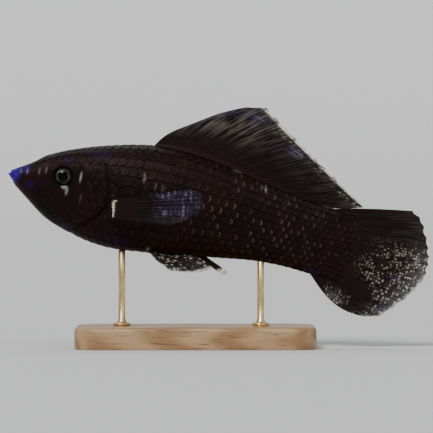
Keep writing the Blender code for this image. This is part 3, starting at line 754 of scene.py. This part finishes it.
# Eyes: a sculpted ball with a grey iris ring and a sunk pupil, under a clear lens
eye = {
    "steps": 48, "cup": (0.00028, 0.78, 0.97), "pupil": (0.00016, 0.42, 0.50),  # depth, from and to
    "lensRim": 0.26, "lensProud": 1.006, "lensBack": 0.35,
    "arcs": [(200, 26, 0.45), (128, 34, 1.0), (-15, 30, 0.45)],  # bright arcs of the iris ring: degrees, reach, strength; the strongest, up and to the left, is a painted highlight, the other two are the ring's own pale arcs
}


def spunPiece(name, profile, steps):
    return smoothMeshOf(spun(profile, steps, 1e-7), name)


def placed(mesh, centre, facing):
    turn = Vector(facing).to_track_quat("Z", "Y").to_matrix().to_4x4()
    turn.translation = centre
    mesh.transform(turn)
    return mesh


def makeEyeMaterials():
    ball, shader = newMaterial("eyeBall", Roughness=0.5, Specular_IOR_Level=0.0)
    ring = attribute("ring")  # distance from the eye's axis, 1 at its edge
    place = objectPlace()
    fibres = noise(place, 2600.0, 3.0)
    broad = noise(place, 900.0, 2.0)
    ring = math2("ADD", ring, rampNode(broad, 0.3, 0.7, -0.022, 0.022))
    iris = blend(fibres, (0.004, 0.0032, 0.0034), (0.022, 0.018, 0.017))
    # the ring brightened in arcs, the strongest of them a painted highlight
    bright = times(attribute("arc"), rampNode(broad, 0.30, 0.55, 0.5, 1.0))
    rim = blend(bright, (0.018, 0.016, 0.015), (0.25, 0.23, 0.21))
    base = blend(rampNode(ring, 0.50, 0.525), (0.0004, 0.0004, 0.0005), rim)
    base = blend(rampNode(ring, 0.55, 0.64), base, iris)
    base = blend(rampNode(ring, 0.66, 0.80), base, (0.004, 0.003, 0.003))
    relief = times(fibres, rampNode(ring, 0.50, 0.58))
    feed(shader, Base_Color=base, Normal=bump(relief, 0.00002))
    lens, _ = newMaterial("clearLens", Roughness=0.08, IOR=1.2, Transmission_Weight=1.0)
    return ball, lens


def makeEyes():
    ballLook, lensLook = makeEyeMaterials()
    radius, high = face["eyeRadius"], face["eyeRadius"] * face["eyeFlat"]
    profile = [(math.cos(t) * radius, math.sin(t) * high) for t in np.linspace(-math.pi / 2, 0, 15)]
    for share in np.linspace(0.985, 0, 40):
        sunk = sum(depth * float(1 - ramp(low, top, share)) for depth, low, top in (eye["cup"], eye["pupil"]))
        profile.append((share * radius, high * math.sqrt(1 - share**2) - sunk))
    proud = eye["lensProud"]
    lens = [(0, high * eye["lensBack"])]
    lens += [(math.cos(t) * radius * proud, math.sin(t) * high * proud)
             for t in np.linspace(eye["lensRim"], math.pi / 2, 22)]
    for name, side in sides.items():
        facing = eyeFacing * np.array([1, side, 1])
        centre = (eyeSurface - eyeFacing * (high - face["eyeProud"])) * np.array([1, side, 1])
        worldFacing = toWorld(centre + facing) - toWorld(centre)
        ball = spunPiece(f"eyeball_{name}", profile, eye["steps"])
        shape = coordinates(ball)
        ring = lengths(shape[:, :2]) / radius + 2.0 * (shape[:, 2] < 0)
        placed(ball, toWorld(centre), worldFacing)
        away = coordinates(ball) - toWorld(centre)
        turn = np.degrees(np.arctan2(away[:, 2], away[:, 0]))
        arcs = [strength * hump((turn - at + 180) % 360 - 180, wide) for at, wide, strength in eye["arcs"]]
        setValues(ball, ring=ring, arc=np.maximum.reduce(arcs))
        keepPiece(f"eyeball_{name}", ball, "eye", [ballLook], f"eye_{name}")
        clear = placed(spunPiece(f"cornea_{name}", lens, eye["steps"]), toWorld(centre), worldFacing)
        keepPiece(f"cornea_{name}", clear, "eye", [lensLook]).visible_shadow = False


makeEyes()
print("eyes made")


# Fins: a thin scalloped membrane over branched, tapering rays. Places in the side view are in
# hundredths; bends, radii, half thicknesses and what stands out sideways are in metres
dorsal = {
    "from": 41.0, "to": 89.5, "peak": (72.3, 36.9), "leading": (60.5, 36.8), "leadingFrom": 0.24,
    "trailing": (89.5, 25.0), "rear": (107.9, 13.9),
    "bow": 0.0007, "sag": 0.0008, "wave": 0.0006, "sink": 0.0006,
    "rays": 14, "peakRay": 3, "rows": 60, "perGap": 12, "rootHalf": 0.00060, "ray": (0.00021, 0.00006),
    "forks": (0.42, 0.70), "skin": 0.00006, "point": 0.00035, "flatTo": 0.05,
}
caudal = {
    "base": [(-12, 96.5), (-5, 99.6), (2, 100.6), (8, 99.8), (13, 98.5)], "root": (10.9, -9.7),
    "margin": [(0, 122.3, 15.9), (0.07, 124.6, 14.6), (0.28, 129.0, 6.9), (0.48, 130.6, 0.2),
               (0.63, 129.6, -5.0), (0.83, 123.4, -13.6), (0.94, 118.6, -17.8), (1, 114.6, -18.7)],
    "swell": (0.0003, 0.0021), "wave": 0.0005, "sink": 1.2,  # hundredths into the body
    "rays": 14, "rows": 56, "perGap": 12, "rootHalf": 0.00070, "ray": (0.00024, 0.00005),
    "forks": (0.30, 0.60), "skin": 0.00006, "point": 0.00035, "flatTo": 0.40,
}
pectoral = {
    "margin": [(0, 55.5, 8.0), (0.2, 58.6, 7.2), (0.45, 59.6, 3.6), (0.7, 57.0, -0.6), (1, 51.0, -4.2)],
    "flare": 0.0058, "stem": (0.14, 0.0009), "cup": 0.0008, "clear": -0.0001,
    "rays": 12, "rows": 44, "perGap": 8, "rootHalf": 0.00034, "ray": (0.00014, 0.00004),
    "forks": (0.40, 0.72), "skin": 0.00004, "point": 0.0002, "flatTo": 0.05,
}
pelvic = {
    "outer": ((46.4, 0.0023), (54.2, -17.8, 0.0038)), "inner": ((51.4, 0.0010), (67.0, -14.3, 0.0020)),
    "round": (0.9, -0.7), "drop": 0.0004, "bow": 0.0018, "clear": -0.0001,
    "rays": 7, "rows": 34, "perGap": 10, "rootHalf": 0.00030, "ray": (0.00013, 0.00004),
    "forks": (0.45, 0.75), "skin": 0.00004, "point": 0.0003, "flatTo": 0.05,
}
gonopodium = {
    "from": 60.2, "to": 62.9, "tips": ((70.6, -15.5), (71.4, -14.5)), "sink": 0.0004,
    "rays": 4, "rows": 40, "perGap": 6, "rootHalf": 0.00055, "ray": (0.00030, 0.00010),
    "forks": (0.97, 0.98), "skin": 0.00010, "point": 0.00005, "flatTo": 0.05,
}


membraneLean = 0.00010  # how far a membrane leans to either side between two rays
forkSpread = (0.13, 0.075)  # how far the two forks of a ray part, in gaps between rays
rayFaces = (14, 6)  # rings along each length of ray, and its sides


def arch(u):
    # 0 at the root and the margin, 1 halfway
    return np.sin(math.pi * np.clip(u, 0, 1))


def bezier(start, control, end, t):
    return [(1 - t) ** 2 * a + 2 * t * (1 - t) * b + t * t * c for a, b, c in zip(start, control, end)]


def dorsalSheet(u, v):
    x = dorsal["from"] + (dorsal["to"] - dorsal["from"]) * v
    top = smooth(body["top"], x) * pct - dorsal["sink"]
    peakAt = dorsal["peakRay"] / (dorsal["rays"] - 1)
    frontTop = float(smooth(body["top"], dorsal["from"]))
    share = dorsal["leadingFrom"] + (1 - dorsal["leadingFrom"]) * np.clip(v / peakAt, 0, 1)
    leading = bezier((dorsal["from"], frontTop), dorsal["leading"], dorsal["peak"], share)
    share = np.clip((v - peakAt) / (1 - peakAt), 0, 1)
    trailing = bezier(dorsal["peak"], dorsal["trailing"], dorsal["rear"], share)
    tipX, tipZ = (np.where(v < peakAt, leading[i], trailing[i]) * pct for i in (0, 1))
    lift = (dorsal["bow"] * (1 - v) ** 1.5 - dorsal["sag"] * ramp(0.7, 1.0, v)) * arch(u)
    sway = dorsal["wave"] * u * np.sin(2 * math.pi * (1.1 * v + 0.1))
    return np.stack([x * pct * (1 - u) + tipX * u - lift * 0.7, sway, top * (1 - u) + tipZ * u + lift], -1)


def caudalSheet(u, v):
    high, low = caudal["root"]
    z = high + (low - high) * v
    x = smooth(caudal["base"], z) - caudal["sink"]
    tipX, tipZ = smooth(caudal["margin"], v, 1), smooth(caudal["margin"], v, 2)
    up, down = caudal["swell"]
    bow = arch(u) * (up * (1 - v) ** 3 - down * v**3)
    sway = caudal["wave"] * np.clip(u, 0, 1) ** 4 * np.sin(2 * math.pi * (v - 0.15))
    return np.stack([(x * (1 - u) + tipX * u) * pct, sway, (z * (1 - u) + tipZ * u) * pct + bow], -1)


def between(start, end, share):
    return [a + (b - a) * share for a, b in zip(start, end)]


def pairedSheet(xs, turns, clear, side, tipOf, bend):
    # a sheet from a line of roots on the body to the tips, bent sideways and upwards
    knots = np.linspace(0, 1, len(xs))
    roots = bodyPoints(xs, turns) + bodyNormals(xs, turns) * clear

    def sheet(u, v):
        base = np.stack([np.interp(v, knots, roots[:, i]) for i in range(3)], -1)
        made = base + (tipOf(v, base) - base) * u[..., None]
        out, up = bend(u, v)
        made[..., 1] = (made[..., 1] - out) * side
        made[..., 2] += up
        return made

    return sheet


def pectoralSheet(side):
    xs, zs = between(pectoralRoot["upper"], pectoralRoot["lower"], np.linspace(0, 1, 33))

    def tipOf(v, base):
        tipX, tipZ = smooth(pectoral["margin"], v, 1) * pct, smooth(pectoral["margin"], v, 2) * pct
        return np.stack([tipX, base[..., 1] - pectoral["flare"], tipZ], -1)

    def bend(u, v):
        run, out = pectoral["stem"]
        return out * ramp(0, run, u) + pectoral["cup"] * u * (1 - (2 * v - 1) ** 2), 0.0

    return pairedSheet(xs, flankAngle(xs, zs), pectoral["clear"], side, tipOf, bend)


def pelvicSheet(side):
    xs, outs = between(pelvic["outer"][0], pelvic["inner"][0], np.linspace(0, 1, 33))
    turns = bisected(xs, math.pi / 2, math.pi, lambda points: -points[..., 1] > outs)

    def tipOf(v, base):
        x, z, out = between(pelvic["outer"][1], pelvic["inner"][1], v)
        bulge = 1 - (2 * v - 1) ** 2
        across, down = pelvic["round"]
        return np.stack([(x + across * bulge) * pct, -out, (z + down * bulge) * pct], -1)

    def bend(u, v):
        return 0.0, pelvic["bow"] * arch(u) * v**2 - pelvic["drop"] * arch(u * 1.4)

    return pairedSheet(xs, turns, pelvic["clear"], side, tipOf, bend)


def gonopodiumSheet(u, v):
    x = gonopodium["from"] + (gonopodium["to"] - gonopodium["from"]) * v
    z = smooth(body["low"], x) * pct + gonopodium["sink"]
    tipX, tipZ = between(*gonopodium["tips"], v)
    return np.stack([(x * (1 - u) + tipX * u) * pct, np.zeros_like(u), z * (1 - u) + tipZ * pct * u], -1)


def sheetFrame(sheet, u, v):
    # points, the way the rays run and the sheet's normal
    step = 0.004
    along = unit(sheet(u + step, v) - sheet(u - step, v))
    across = unit(sheet(u, np.clip(v + step, 0, 1)) - sheet(u, np.clip(v - step, 0, 1)))
    return sheet(u, v), along, unit(np.cross(along, across))


def gapOf(fin, v):
    # which gap between the rays v lies in, and how far it is from them: 1 in the gap's middle
    gaps = fin["rays"] - 1
    gap = np.clip((v * gaps).astype(int), 0, gaps - 1)
    return gap, np.abs(np.sin(math.pi * (v * gaps - gap)))


def withMargin(fin, sheet, notches, u, v):
    # u drawn back between the rays, where the margin is scalloped, and the fin's length at v
    knots = np.linspace(0, 1, 65)
    reach = sheet(np.ones(65), knots) - sheet(np.zeros(65), knots)
    length = np.interp(v, knots, lengths(reach))
    gap, bulge = gapOf(fin, v)
    return u * (1 - fin["point"] * notches[gap] * bulge**1.3 / length * ramp(0.8, 1.0, u)), length


def laidOut(mesh, points, fin, zones, u, v, length):
    # the mesh at its place, with u counted in rays and v in millimetres in its UV map
    setCoordinates(mesh, toWorld(points))
    setUvs(mesh, "ray", v * (fin["rays"] - 1), u * length / 0.001)
    setValues(mesh, reach=u, **zones(u, v))
    return mesh


def makeMembrane(name, fin, sheet, rng, notches, zones):
    gaps = fin["rays"] - 1
    mesh = sheetTemplate(name, fin["rows"], gaps * fin["perGap"], closed=True)
    shape = coordinates(mesh)
    v, back = shape[:, 1], shape[:, 2]
    gap, bulge = gapOf(fin, v)
    u, length = withMargin(fin, sheet, notches, shape[:, 0], v)
    points, _, normal = sheetFrame(sheet, u, v)
    flesh = (fin["rootHalf"] - fin["skin"]) * np.clip(1 - u / 0.13, 0, 1) ** 2.2
    leanBegun = ramp(fin["flatTo"], fin["flatTo"] + 0.35, u)
    lean = rng.uniform(-1, 1, gaps)[gap] * membraneLean * bulge * leanBegun
    half = fin["skin"] * (1 - 0.4 * ramp(0.85, 1, u)) + flesh
    side = np.where(back > -0.5, 1.0, -1.0)
    return laidOut(mesh, points + normal * (lean + half * side)[:, None], fin, zones, u, v, length)


def branchPlan(fin):
    # every length of ray: where it starts and ends, its side steps in v and its radii
    first, second = fin["forks"]
    gaps = fin["rays"] - 1
    overlap, inside = 0.03, (0.002, 0.998)
    plan = []
    for ray in range(fin["rays"]):
        v = ray / gaps
        thick, thin = fin["ray"]
        thick *= 0.7 if ray in (0, gaps) else 1.0  # the outermost rays are thinner
        plan.append((-0.02, first + overlap, v, v, thick, thick * 0.72))
        for one in (-1, 1):
            middle = np.clip(v + one * forkSpread[0] / gaps, *inside)
            plan.append((first, second + overlap, v, middle, thick * 0.66, thick * 0.45))
            for two in (-1, 1):
                end = np.clip(middle + two * forkSpread[1] / gaps, *inside)
                plan.append((second, 1.0, middle, end, thick * 0.40, thin))
    return np.array(plan)


def makeRays(name, fin, sheet, notches, zones):
    plan = branchPlan(fin)
    template = tubeTemplate(name, *rayFaces)
    perRay = len(template.vertices)
    mesh = repeated(template, len(plan))
    shape = coordinates(mesh).reshape(len(plan), perRay, 3)
    start, end, v0, v1, r0, r1 = (plan[:, i:i + 1] for i in range(6))
    t = shape[..., 2]
    u = (start + (end - start) * t).ravel()
    v = (v0 + (v1 - v0) * ramp(0, 0.55, t)).ravel()
    radius = (r0 + (r1 - r0) * t).ravel() * (1 - 0.75 * ramp(0.985, 1.0, u))
    u, length = withMargin(fin, sheet, notches, u, v)
    points, along, normal = sheetFrame(sheet, u, v)
    side = np.cross(along, normal)
    offset = normal * shape[..., 0].reshape(-1, 1) + side * shape[..., 1].reshape(-1, 1)
    return laidOut(mesh, points + offset * radius[:, None], fin, zones, u, v, length)


def joined(name, meshes):
    # meshes in one, each with its own material index
    bm = bmesh.new()
    for index, mesh in enumerate(meshes):
        before = len(bm.faces)
        bm.from_mesh(mesh)
        bm.faces.ensure_lookup_table()
        for polygon in bm.faces[before:]:
            polygon.material_index = index
    return smoothMeshOf(bm, name)


def makeFin(name, fin, sheet, seed, zones, slot, looks):
    rng = np.random.default_rng(seed)
    notches = rng.uniform(0.7, 1.5, fin["rays"] - 1)
    meshes = [makeMembrane(name + "Skin", fin, sheet, rng, notches, zones),
              makeRays(name + "Rays", fin, sheet, notches, zones)]
    keepPiece("finished_" + name, joined(name, meshes), slot, looks, name)


# Where each fin is streaked, pale at the margin, speckled, painted with a violet sheen and glints, and thin.
# u runs from the root to the margin, v from the first ray to the last
def dorsalZones(u, v):
    grey = np.maximum(ramp(0.22, 0.66, u) * (1 - ramp(0.25, 0.55, v)), 0.3 * ramp(0.3, 0.9, u))
    grey = grey * (1 - 0.9 * ramp(0.955, 0.985, u) * (1 - ramp(0.20, 0.24, v)))  # the leading edge is dark
    glints = [(0.15, 0.04, 0.86, 0.07), (0.06, 0.02, 0.80, 0.12), (0.56, 0.05, 0.87, 0.07),
              (0.27, 0.04, 0.82, 0.07)]  # painted violet glints: place and reach in v, then in u
    violet = [hump(v - v0, dv) * hump(u - u0, du) for v0, dv, u0, du in glints]
    speckle = ramp(0.78, 0.95, u) * (0.35 * ramp(0.2, 0.5, v) + 0.6 * ramp(0.80, 0.92, v))
    return {"streak": grey, "margin": ramp(0.94, 0.97, u) * ramp(0.20, 0.24, v), "speckle": speckle,
            "violet": 0.85 * np.maximum.reduce(violet), "thin": 0.25 * ramp(0.5, 1.0, u)}


def caudalZones(u, v):
    lower, lowest = ramp(0.24, 0.46, v), ramp(0.70, 0.86, v)
    edge = ramp(0.86, 0.97, v) * ramp(0.16, 0.34, u)  # the pale, clear lower edge near the root
    edge = edge * (1 - ramp(0.45, 0.60, u))
    begun = ramp(0.36, 0.60, u + 0.12 * hump(v - 0.62, 0.16) - 0.32 * lowest)
    clear = 0.25 + 0.45 * lower * ramp(0.50, 0.90, u - 0.12 * lowest)
    speckle = np.maximum(lower * begun * (0.45 + 0.45 * ramp(0.60, 0.95, u)), 0.75 * edge)
    # small painted violet glints on the lower lobe
    violet = [hump(u - 0.93, 0.05) * hump(v - 0.88, 0.05), 0.6 * hump(u - 0.75, 0.05) * hump(v - 0.66, 0.03)]
    return {"streak": 0.25 * ramp(0.4, 1, u), "margin": 0.8 * ramp(0.95, 0.985, u) * ramp(0.50, 0.65, v),
            "speckle": speckle, "violet": np.maximum.reduce(violet),
            "thin": np.maximum(ramp(0.60, 1.0, u) * clear, 0.55 * edge)}


def pectoralZones(u, v):
    # a painted violet sheen over the outer part of the fin's upper rays
    sheen = ramp(0.42, 0.62, u) * (1 - 0.7 * ramp(0.84, 1.0, u)) * (1 - ramp(0.52, 0.84, v))
    # the white bar at the root is a painted highlight, hooked back at its top and tapered to its foot
    hook = 0.028 * (1 - ramp(0.03, 0.24, v))
    bar = hump(u - 0.018 - hook, 0.013) * ramp(0.02, 0.10, v) * (1 - ramp(0.88, 0.97, v))
    return {"streak": 0.25 * ramp(0.3, 0.9, u), "margin": 1.1 * bar, "speckle": 0.12 * ramp(0.5, 0.9, u),
            "violet": sheen, "thin": ramp(0.15, 0.5, u)}


def pelvicZones(u, v):
    return {"streak": 0.5 * ramp(0.2, 0.8, u), "margin": 0.9 * ramp(0.90, 0.96, u),
            "speckle": ramp(0.03, 0.10, u), "violet": np.zeros_like(u), "thin": 0.75 * ramp(0.3, 1.0, u)}


def gonopodiumZones(u, v):
    # the white tip is a painted highlight
    return {"streak": 0.4 * ramp(0.4, 0.8, u), "margin": 2.5 * ramp(0.72, 0.86, u),
            "speckle": 0.2 * ramp(0.4, 0.8, u), "violet": np.zeros_like(u), "thin": np.zeros_like(u)}


def finColours(dark, grey, alphaTo, spots):
    # ray UV: u counts rays and v runs along them in millimetres
    perGap, perMillimetre, reach = spots
    uv = node("ShaderNodeUVMap", uv_map="ray")
    cells = stretched(uv, (perGap, perMillimetre, 1.0))
    stray = node("ShaderNodeTexNoise", {"Vector": cells, "Scale": 2.3, "Detail": 2.0}, output="Color")
    strayed = node("ShaderNodeVectorMath", {0: stray, 1: (0.5, 0.5, 0.5)}, operation="SUBTRACT")
    cells = node("ShaderNodeVectorMath", {0: strayed, 1: (0.40, 0.40, 0.0), 2: cells},
                 operation="MULTIPLY_ADD")
    dots = node("ShaderNodeTexVoronoi", {"Vector": cells, "Scale": 1.0, "Randomness": 0.6})
    choice = node("ShaderNodeSeparateXYZ", {0: dots.node.outputs["Color"]})
    picked = times(rampNode(dots, reach, reach - 0.34), rampNode(choice, 0.0, 0.55))
    speckle = times(picked, attribute("speckle"), True)
    # the pale margin; at the pectoral root's bar and the gonopodium's tip it is a painted highlight
    margin = times(attribute("margin"), rampNode(choice, 0.1, 0.6, 0.22, 1.0))
    cloud = noise(objectPlace(), 300.0, 3.0)
    base = blend(rampNode(cloud, 0.35, 0.7), dark[0], dark[1])
    outer = rampNode(attribute("reach"), 0.0, 0.5)
    base = blend(outer, (0.0090, 0.0030, 0.0028), base)
    # streaks run along the rays; the painted violet sheen and pale glints lie across them
    lined = rampNode(noise(stretched(uv, (5.0, 0.16, 1.0)), 1.0, 2.0), 0.42, 0.62)
    base = blend(times(attribute("streak"), lined), base, grey)
    sheen = noise(stretched(uv, (0.35, 1.1, 1.0)), 1.0, 2.0)
    for tone, bounds in (((0.025, 0.019, 0.052), (0.30, 0.60, 0.2, 1.0)),
                         ((0.20, 0.18, 0.26), (0.54, 0.66, 0.0, 0.8))):
        violet = times(attribute("violet"), rampNode(sheen, *bounds))
        base = blend(violet, base, tone)
    spotTone = blend(choice, (0.30, 0.25, 0.22), (0.46, 0.42, 0.36))
    base = blend(speckle, base, spotTone)
    base = blend(margin, base, (0.74, 0.71, 0.56))
    clear = times(attribute("thin"), 1 - alphaTo)
    return base, math2("SUBTRACT", 1.0, clear, True)


def makeFinMaterial(name, dark, grey, alphaTo, spots, isRay):
    made, shader = newMaterial(name, Roughness=0.48 if isRay else 0.45, Specular_IOR_Level=0.12,
                               Specular_Tint=colour(1.0, 0.80, 0.78))
    base, alpha = finColours(dark, grey, alphaTo, spots)
    if isRay:
        joints = math2("SINE", times(uvParts("ray")[1], 9.0))
        feed(shader, Base_Color=base, Normal=bump(joints, 0.000015))
    else:
        normal = bump(noise(objectPlace(), 1500.0, 3.0), 0.00003)
        feed(shader, Base_Color=base, Normal=normal, Alpha=alpha)
    return made


# the darkest and the plain tone of a membrane, and then of its rays
blackTones = (((0.0026, 0.0012, 0.0012), (0.0070, 0.0024, 0.0022)),
              ((0.0060, 0.0030, 0.0030), (0.0150, 0.0080, 0.0078)))
smokyTones = (((0.0030, 0.0018, 0.0019), (0.0070, 0.0045, 0.0046)),
              ((0.0050, 0.0032, 0.0034), (0.0120, 0.0085, 0.0088)))
finKinds = {  # tones, streaks on the membrane, streaks on the rays, the membrane's least alpha, spots
    "fin": (blackTones, (0.088, 0.072, 0.066), (0.044, 0.032, 0.030), 0.55, (3.3, 1.45, 0.54)),
    "clearFin": (smokyTones, (0.05, 0.05, 0.06), (0.05, 0.048, 0.055), 0.25, (2.0, 1.5, 0.46)),
    "spottedFin": (smokyTones, (0.05, 0.045, 0.045), (0.04, 0.036, 0.036), 0.35, (1.6, 1.1, 0.54)),
}
finLooks = {
    kind: [makeFinMaterial(kind + "Skin", tones[0], grey, alphaTo, spots, False),
           makeFinMaterial(kind + "Rays", tones[1], rayGrey, 1.0, spots, True)]
    for kind, (tones, grey, rayGrey, alphaTo, spots) in finKinds.items()
}

makeFin("dorsal_fin", dorsal, dorsalSheet, 3, dorsalZones, "fin", finLooks["fin"])
makeFin("caudal_fin", caudal, caudalSheet, 4, caudalZones, "fin", finLooks["fin"])
makeFin("gonopodium", gonopodium, gonopodiumSheet, 5, gonopodiumZones, "fin", finLooks["fin"])
for sideName, sideSign in sides.items():
    makeFin(f"pectoral_fin_{sideName}", pectoral, pectoralSheet(sideSign), 6, pectoralZones, "clear_fin",
            finLooks["clearFin"])
    makeFin(f"pelvic_fin_{sideName}", pelvic, pelvicSheet(sideSign), 7, pelvicZones, "clear_fin",
            finLooks["spottedFin"])
print("fins made")


# Stand: an oiled oak base and two brushed brass rods
stand = {
    "size": (0.056, 0.034, 0.005), "centreX": -0.0055, "corner": 0.006, "edge": 0.0008, "foot": 0.0003,
    "rod": 0.0008, "rodSteps": 40, "rodInto": 0.0003, "rodTip": 0.0002,  # into the fish, and its chamfer
    "collar": 0.0021, "collarHigh": 0.0009, "collarFoot": 0.97,  # the foot is a share of the radius
    # the collar's round edge and the rod's flared foot, each ending with its place in collar heights
    "round": (0.0003, 0.62), "flare": (0.0009, 0.0007, 0.0006, 0.75),
}


def makeOak():
    made, shader = newMaterial("oiledOak", Roughness=0.42, Specular_IOR_Level=0.4)
    place = objectPlace()
    swirl = noise(stretched(place, (22.0, 260.0, 260.0), (0.0, 0.05, 0.03)), 1.0, 3.0)
    slow = noise(stretched(place, (7.0, 62.0, 48.0)), 1.0, 2.0, 0.35)
    rings = rampNode(math2("SINE", times(slow, 95.0)), -1.0, 1.0)
    fine = noise(stretched(place, (220.0, 3800.0, 3800.0)), 1.0, 2.0)
    pores = rampNode(fine, 0.60, 0.72)
    base = blend(rings, (0.30, 0.165, 0.075), (0.47, 0.30, 0.155))
    base = blend(rampNode(swirl, 0.35, 0.75, 0.0, 0.5), base, (0.24, 0.125, 0.055))
    base = blend(times(pores, 0.7), base, (0.10, 0.05, 0.022))
    feed(shader, Base_Color=base, Normal=bump(pores, -0.00006),
         Roughness=rampNode(rings, 0.0, 1.0, 0.50, 0.36))
    return made


def makeBrass():
    made, shader = newMaterial("brushedBrass", Metallic=1.0, Roughness=0.3)
    place = objectPlace()
    lines = noise(stretched(place, (700.0, 700.0, 9000.0)), 1.0, 2.0)
    dull = noise(place, 260.0, 3.0)
    worn = rampNode(dull, 0.4, 0.75, 0.0, 0.7)
    base = blend(worn, (0.74, 0.55, 0.27), (0.50, 0.34, 0.15))
    feed(shader, Base_Color=base, Normal=bump(lines, 0.00001),
         Roughness=rampNode(dull, 0.3, 0.7, 0.22, 0.42))
    return made


def makeBase(look):
    bm = bmesh.new()
    high = stand["size"][2]
    bmesh.ops.create_cube(bm, size=1)
    bmesh.ops.scale(bm, vec=stand["size"], verts=bm.verts)
    bmesh.ops.translate(bm, vec=(stand["centreX"], 0, high / 2), verts=bm.verts)
    bevels = [(lambda a, b: abs(a - b) > high / 2, stand["corner"], 14),  # the four corners
              (lambda a, b: min(a, b) > high - 1e-6, stand["edge"], 6),  # the top's rim
              (lambda a, b: max(a, b) < 1e-6, stand["foot"], 2)]
    for isPicked, offset, segments in bevels:
        picked = [e for e in bm.edges if isPicked(e.verts[0].co.z, e.verts[1].co.z)]
        bmesh.ops.bevel(bm, geom=picked, offset=offset, segments=segments, profile=0.5, affect="EDGES",
                        material=-1)
    mesh = smoothMeshOf(bm, "oak_base")
    mesh.set_sharp_from_angle(angle=math.radians(30))
    keepPiece("oak_base", mesh, "base_wood", [look], "stand_base")


def makeRod(name, nodeName, look):
    low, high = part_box(nodeName)
    x, foot, top = (low[0] + high[0]) / 2, stand["size"][2], high[2] + stand["rodInto"]
    radius, collar, tall, tip = (stand[key] for key in ("rod", "collar", "collarHigh", "rodTip"))
    bend, bendAt = stand["round"]
    reach, drawn, rise, riseAt = stand["flare"]
    profile = [(0, foot), (collar * stand["collarFoot"], foot)]
    profile += [(collar - bend * (1 - math.sin(a)), foot + tall * bendAt + bend * math.cos(a) - 0.0001)
                for a in np.linspace(math.pi, 0.2, 9)]
    profile += [(radius + reach - drawn * math.sin(a), foot + tall * riseAt + rise * (1 - math.cos(a)))
                for a in np.linspace(0.1, math.pi / 2, 8)]
    profile += [(radius, foot + tall + rise), (radius, (foot + top) / 2), (radius, top - tip),
                (radius - tip, top), (0, top)]
    mesh = spunPiece(name, profile, stand["rodSteps"])
    mesh.set_sharp_from_angle(angle=math.radians(50))
    for vertex in mesh.vertices:
        vertex.co.x += x
    keepPiece(name, mesh, "rod_metal", [look], nodeName)


makeBase(makeOak())
brassLook = makeBrass()
for place in ("front", "rear"):
    makeRod(f"brass_rod_{place}", f"stand_rod_{place}", brassLook)
print("stand made")


# Stage: a wide pale floor that curves up all round, soft light, and the photo's level view
stage = {
    "floorRadius": 3.6, "flatTo": 2.2, "rise": 0.9, "pale": (0.62, 0.63, 0.62),
    "world": (0.82, 0.83, 0.85), "worldStrength": 0.45,
    "suns": [("keyLight", (46, 0, -24), 2.5, 22), ("fillLight", (64, 0, 40), 0.6, 60),
             ("rearLight", (-30, 0, 12), 0.7, 40)],  # angles, strength and softness
    # the view, in metres and degrees: its width and middle, and how far away and how high the camera is
    "frameWide": 0.10093, "middle": (-0.00063, 0.0, 0.03055), "away": 1.25, "elevation": 0.8,
}


def makeStage():
    flatTo, span = stage["flatTo"], stage["floorRadius"] - stage["flatTo"]
    radii = [flatTo * i / 4 for i in range(5)] + [flatTo + span * i / 16 for i in range(1, 17)]
    profile = [(r, stage["rise"] * max(0.0, (r - flatTo) / span) ** 2) for r in radii]
    mesh = meshOf(spun(profile, 96, 1e-6), "paleFloor")
    mesh.shade_smooth()
    floor = linkPiece("paleFloor", mesh)
    made, shader = newMaterial("paleFloor", Roughness=0.85, Specular_IOR_Level=0.1)
    grain = noise(objectPlace(), 900.0, 2.0)
    tone = blend(grain, tuple(c * 0.98 for c in stage["pale"]), stage["pale"])
    feed(shader, Base_Color=tone)
    mesh.materials.append(made)
    world = bpy.data.worlds.new("studio")
    world.use_nodes = True
    background = world.node_tree.nodes["Background"].inputs
    background["Color"].default_value = colour(*stage["world"])
    background["Strength"].default_value = stage["worldStrength"]
    bpy.context.scene.world = world
    for name, angles, strength, softness in stage["suns"]:
        light = bpy.data.lights.new(name, "SUN")
        light.energy, light.angle = strength, math.radians(softness)
        linkPiece(name, light).rotation_euler = [math.radians(a) for a in angles]


def makeCamera():
    view = bpy.data.cameras.new("photoView")
    view.sensor_width = 36
    view.lens = 36 * stage["away"] / stage["frameWide"]
    view.clip_end = 20
    camera = linkPiece("photoView", view)
    tilt = math.radians(stage["elevation"])
    back = Vector((0, -math.cos(tilt), math.sin(tilt)))
    camera.location = Vector(stage["middle"]) + back * stage["away"]
    camera.rotation_euler = (-back).to_track_quat("-Z", "Y").to_euler()
    bpy.context.scene.camera = camera


makeStage()
makeCamera()
print("stage and camera made")
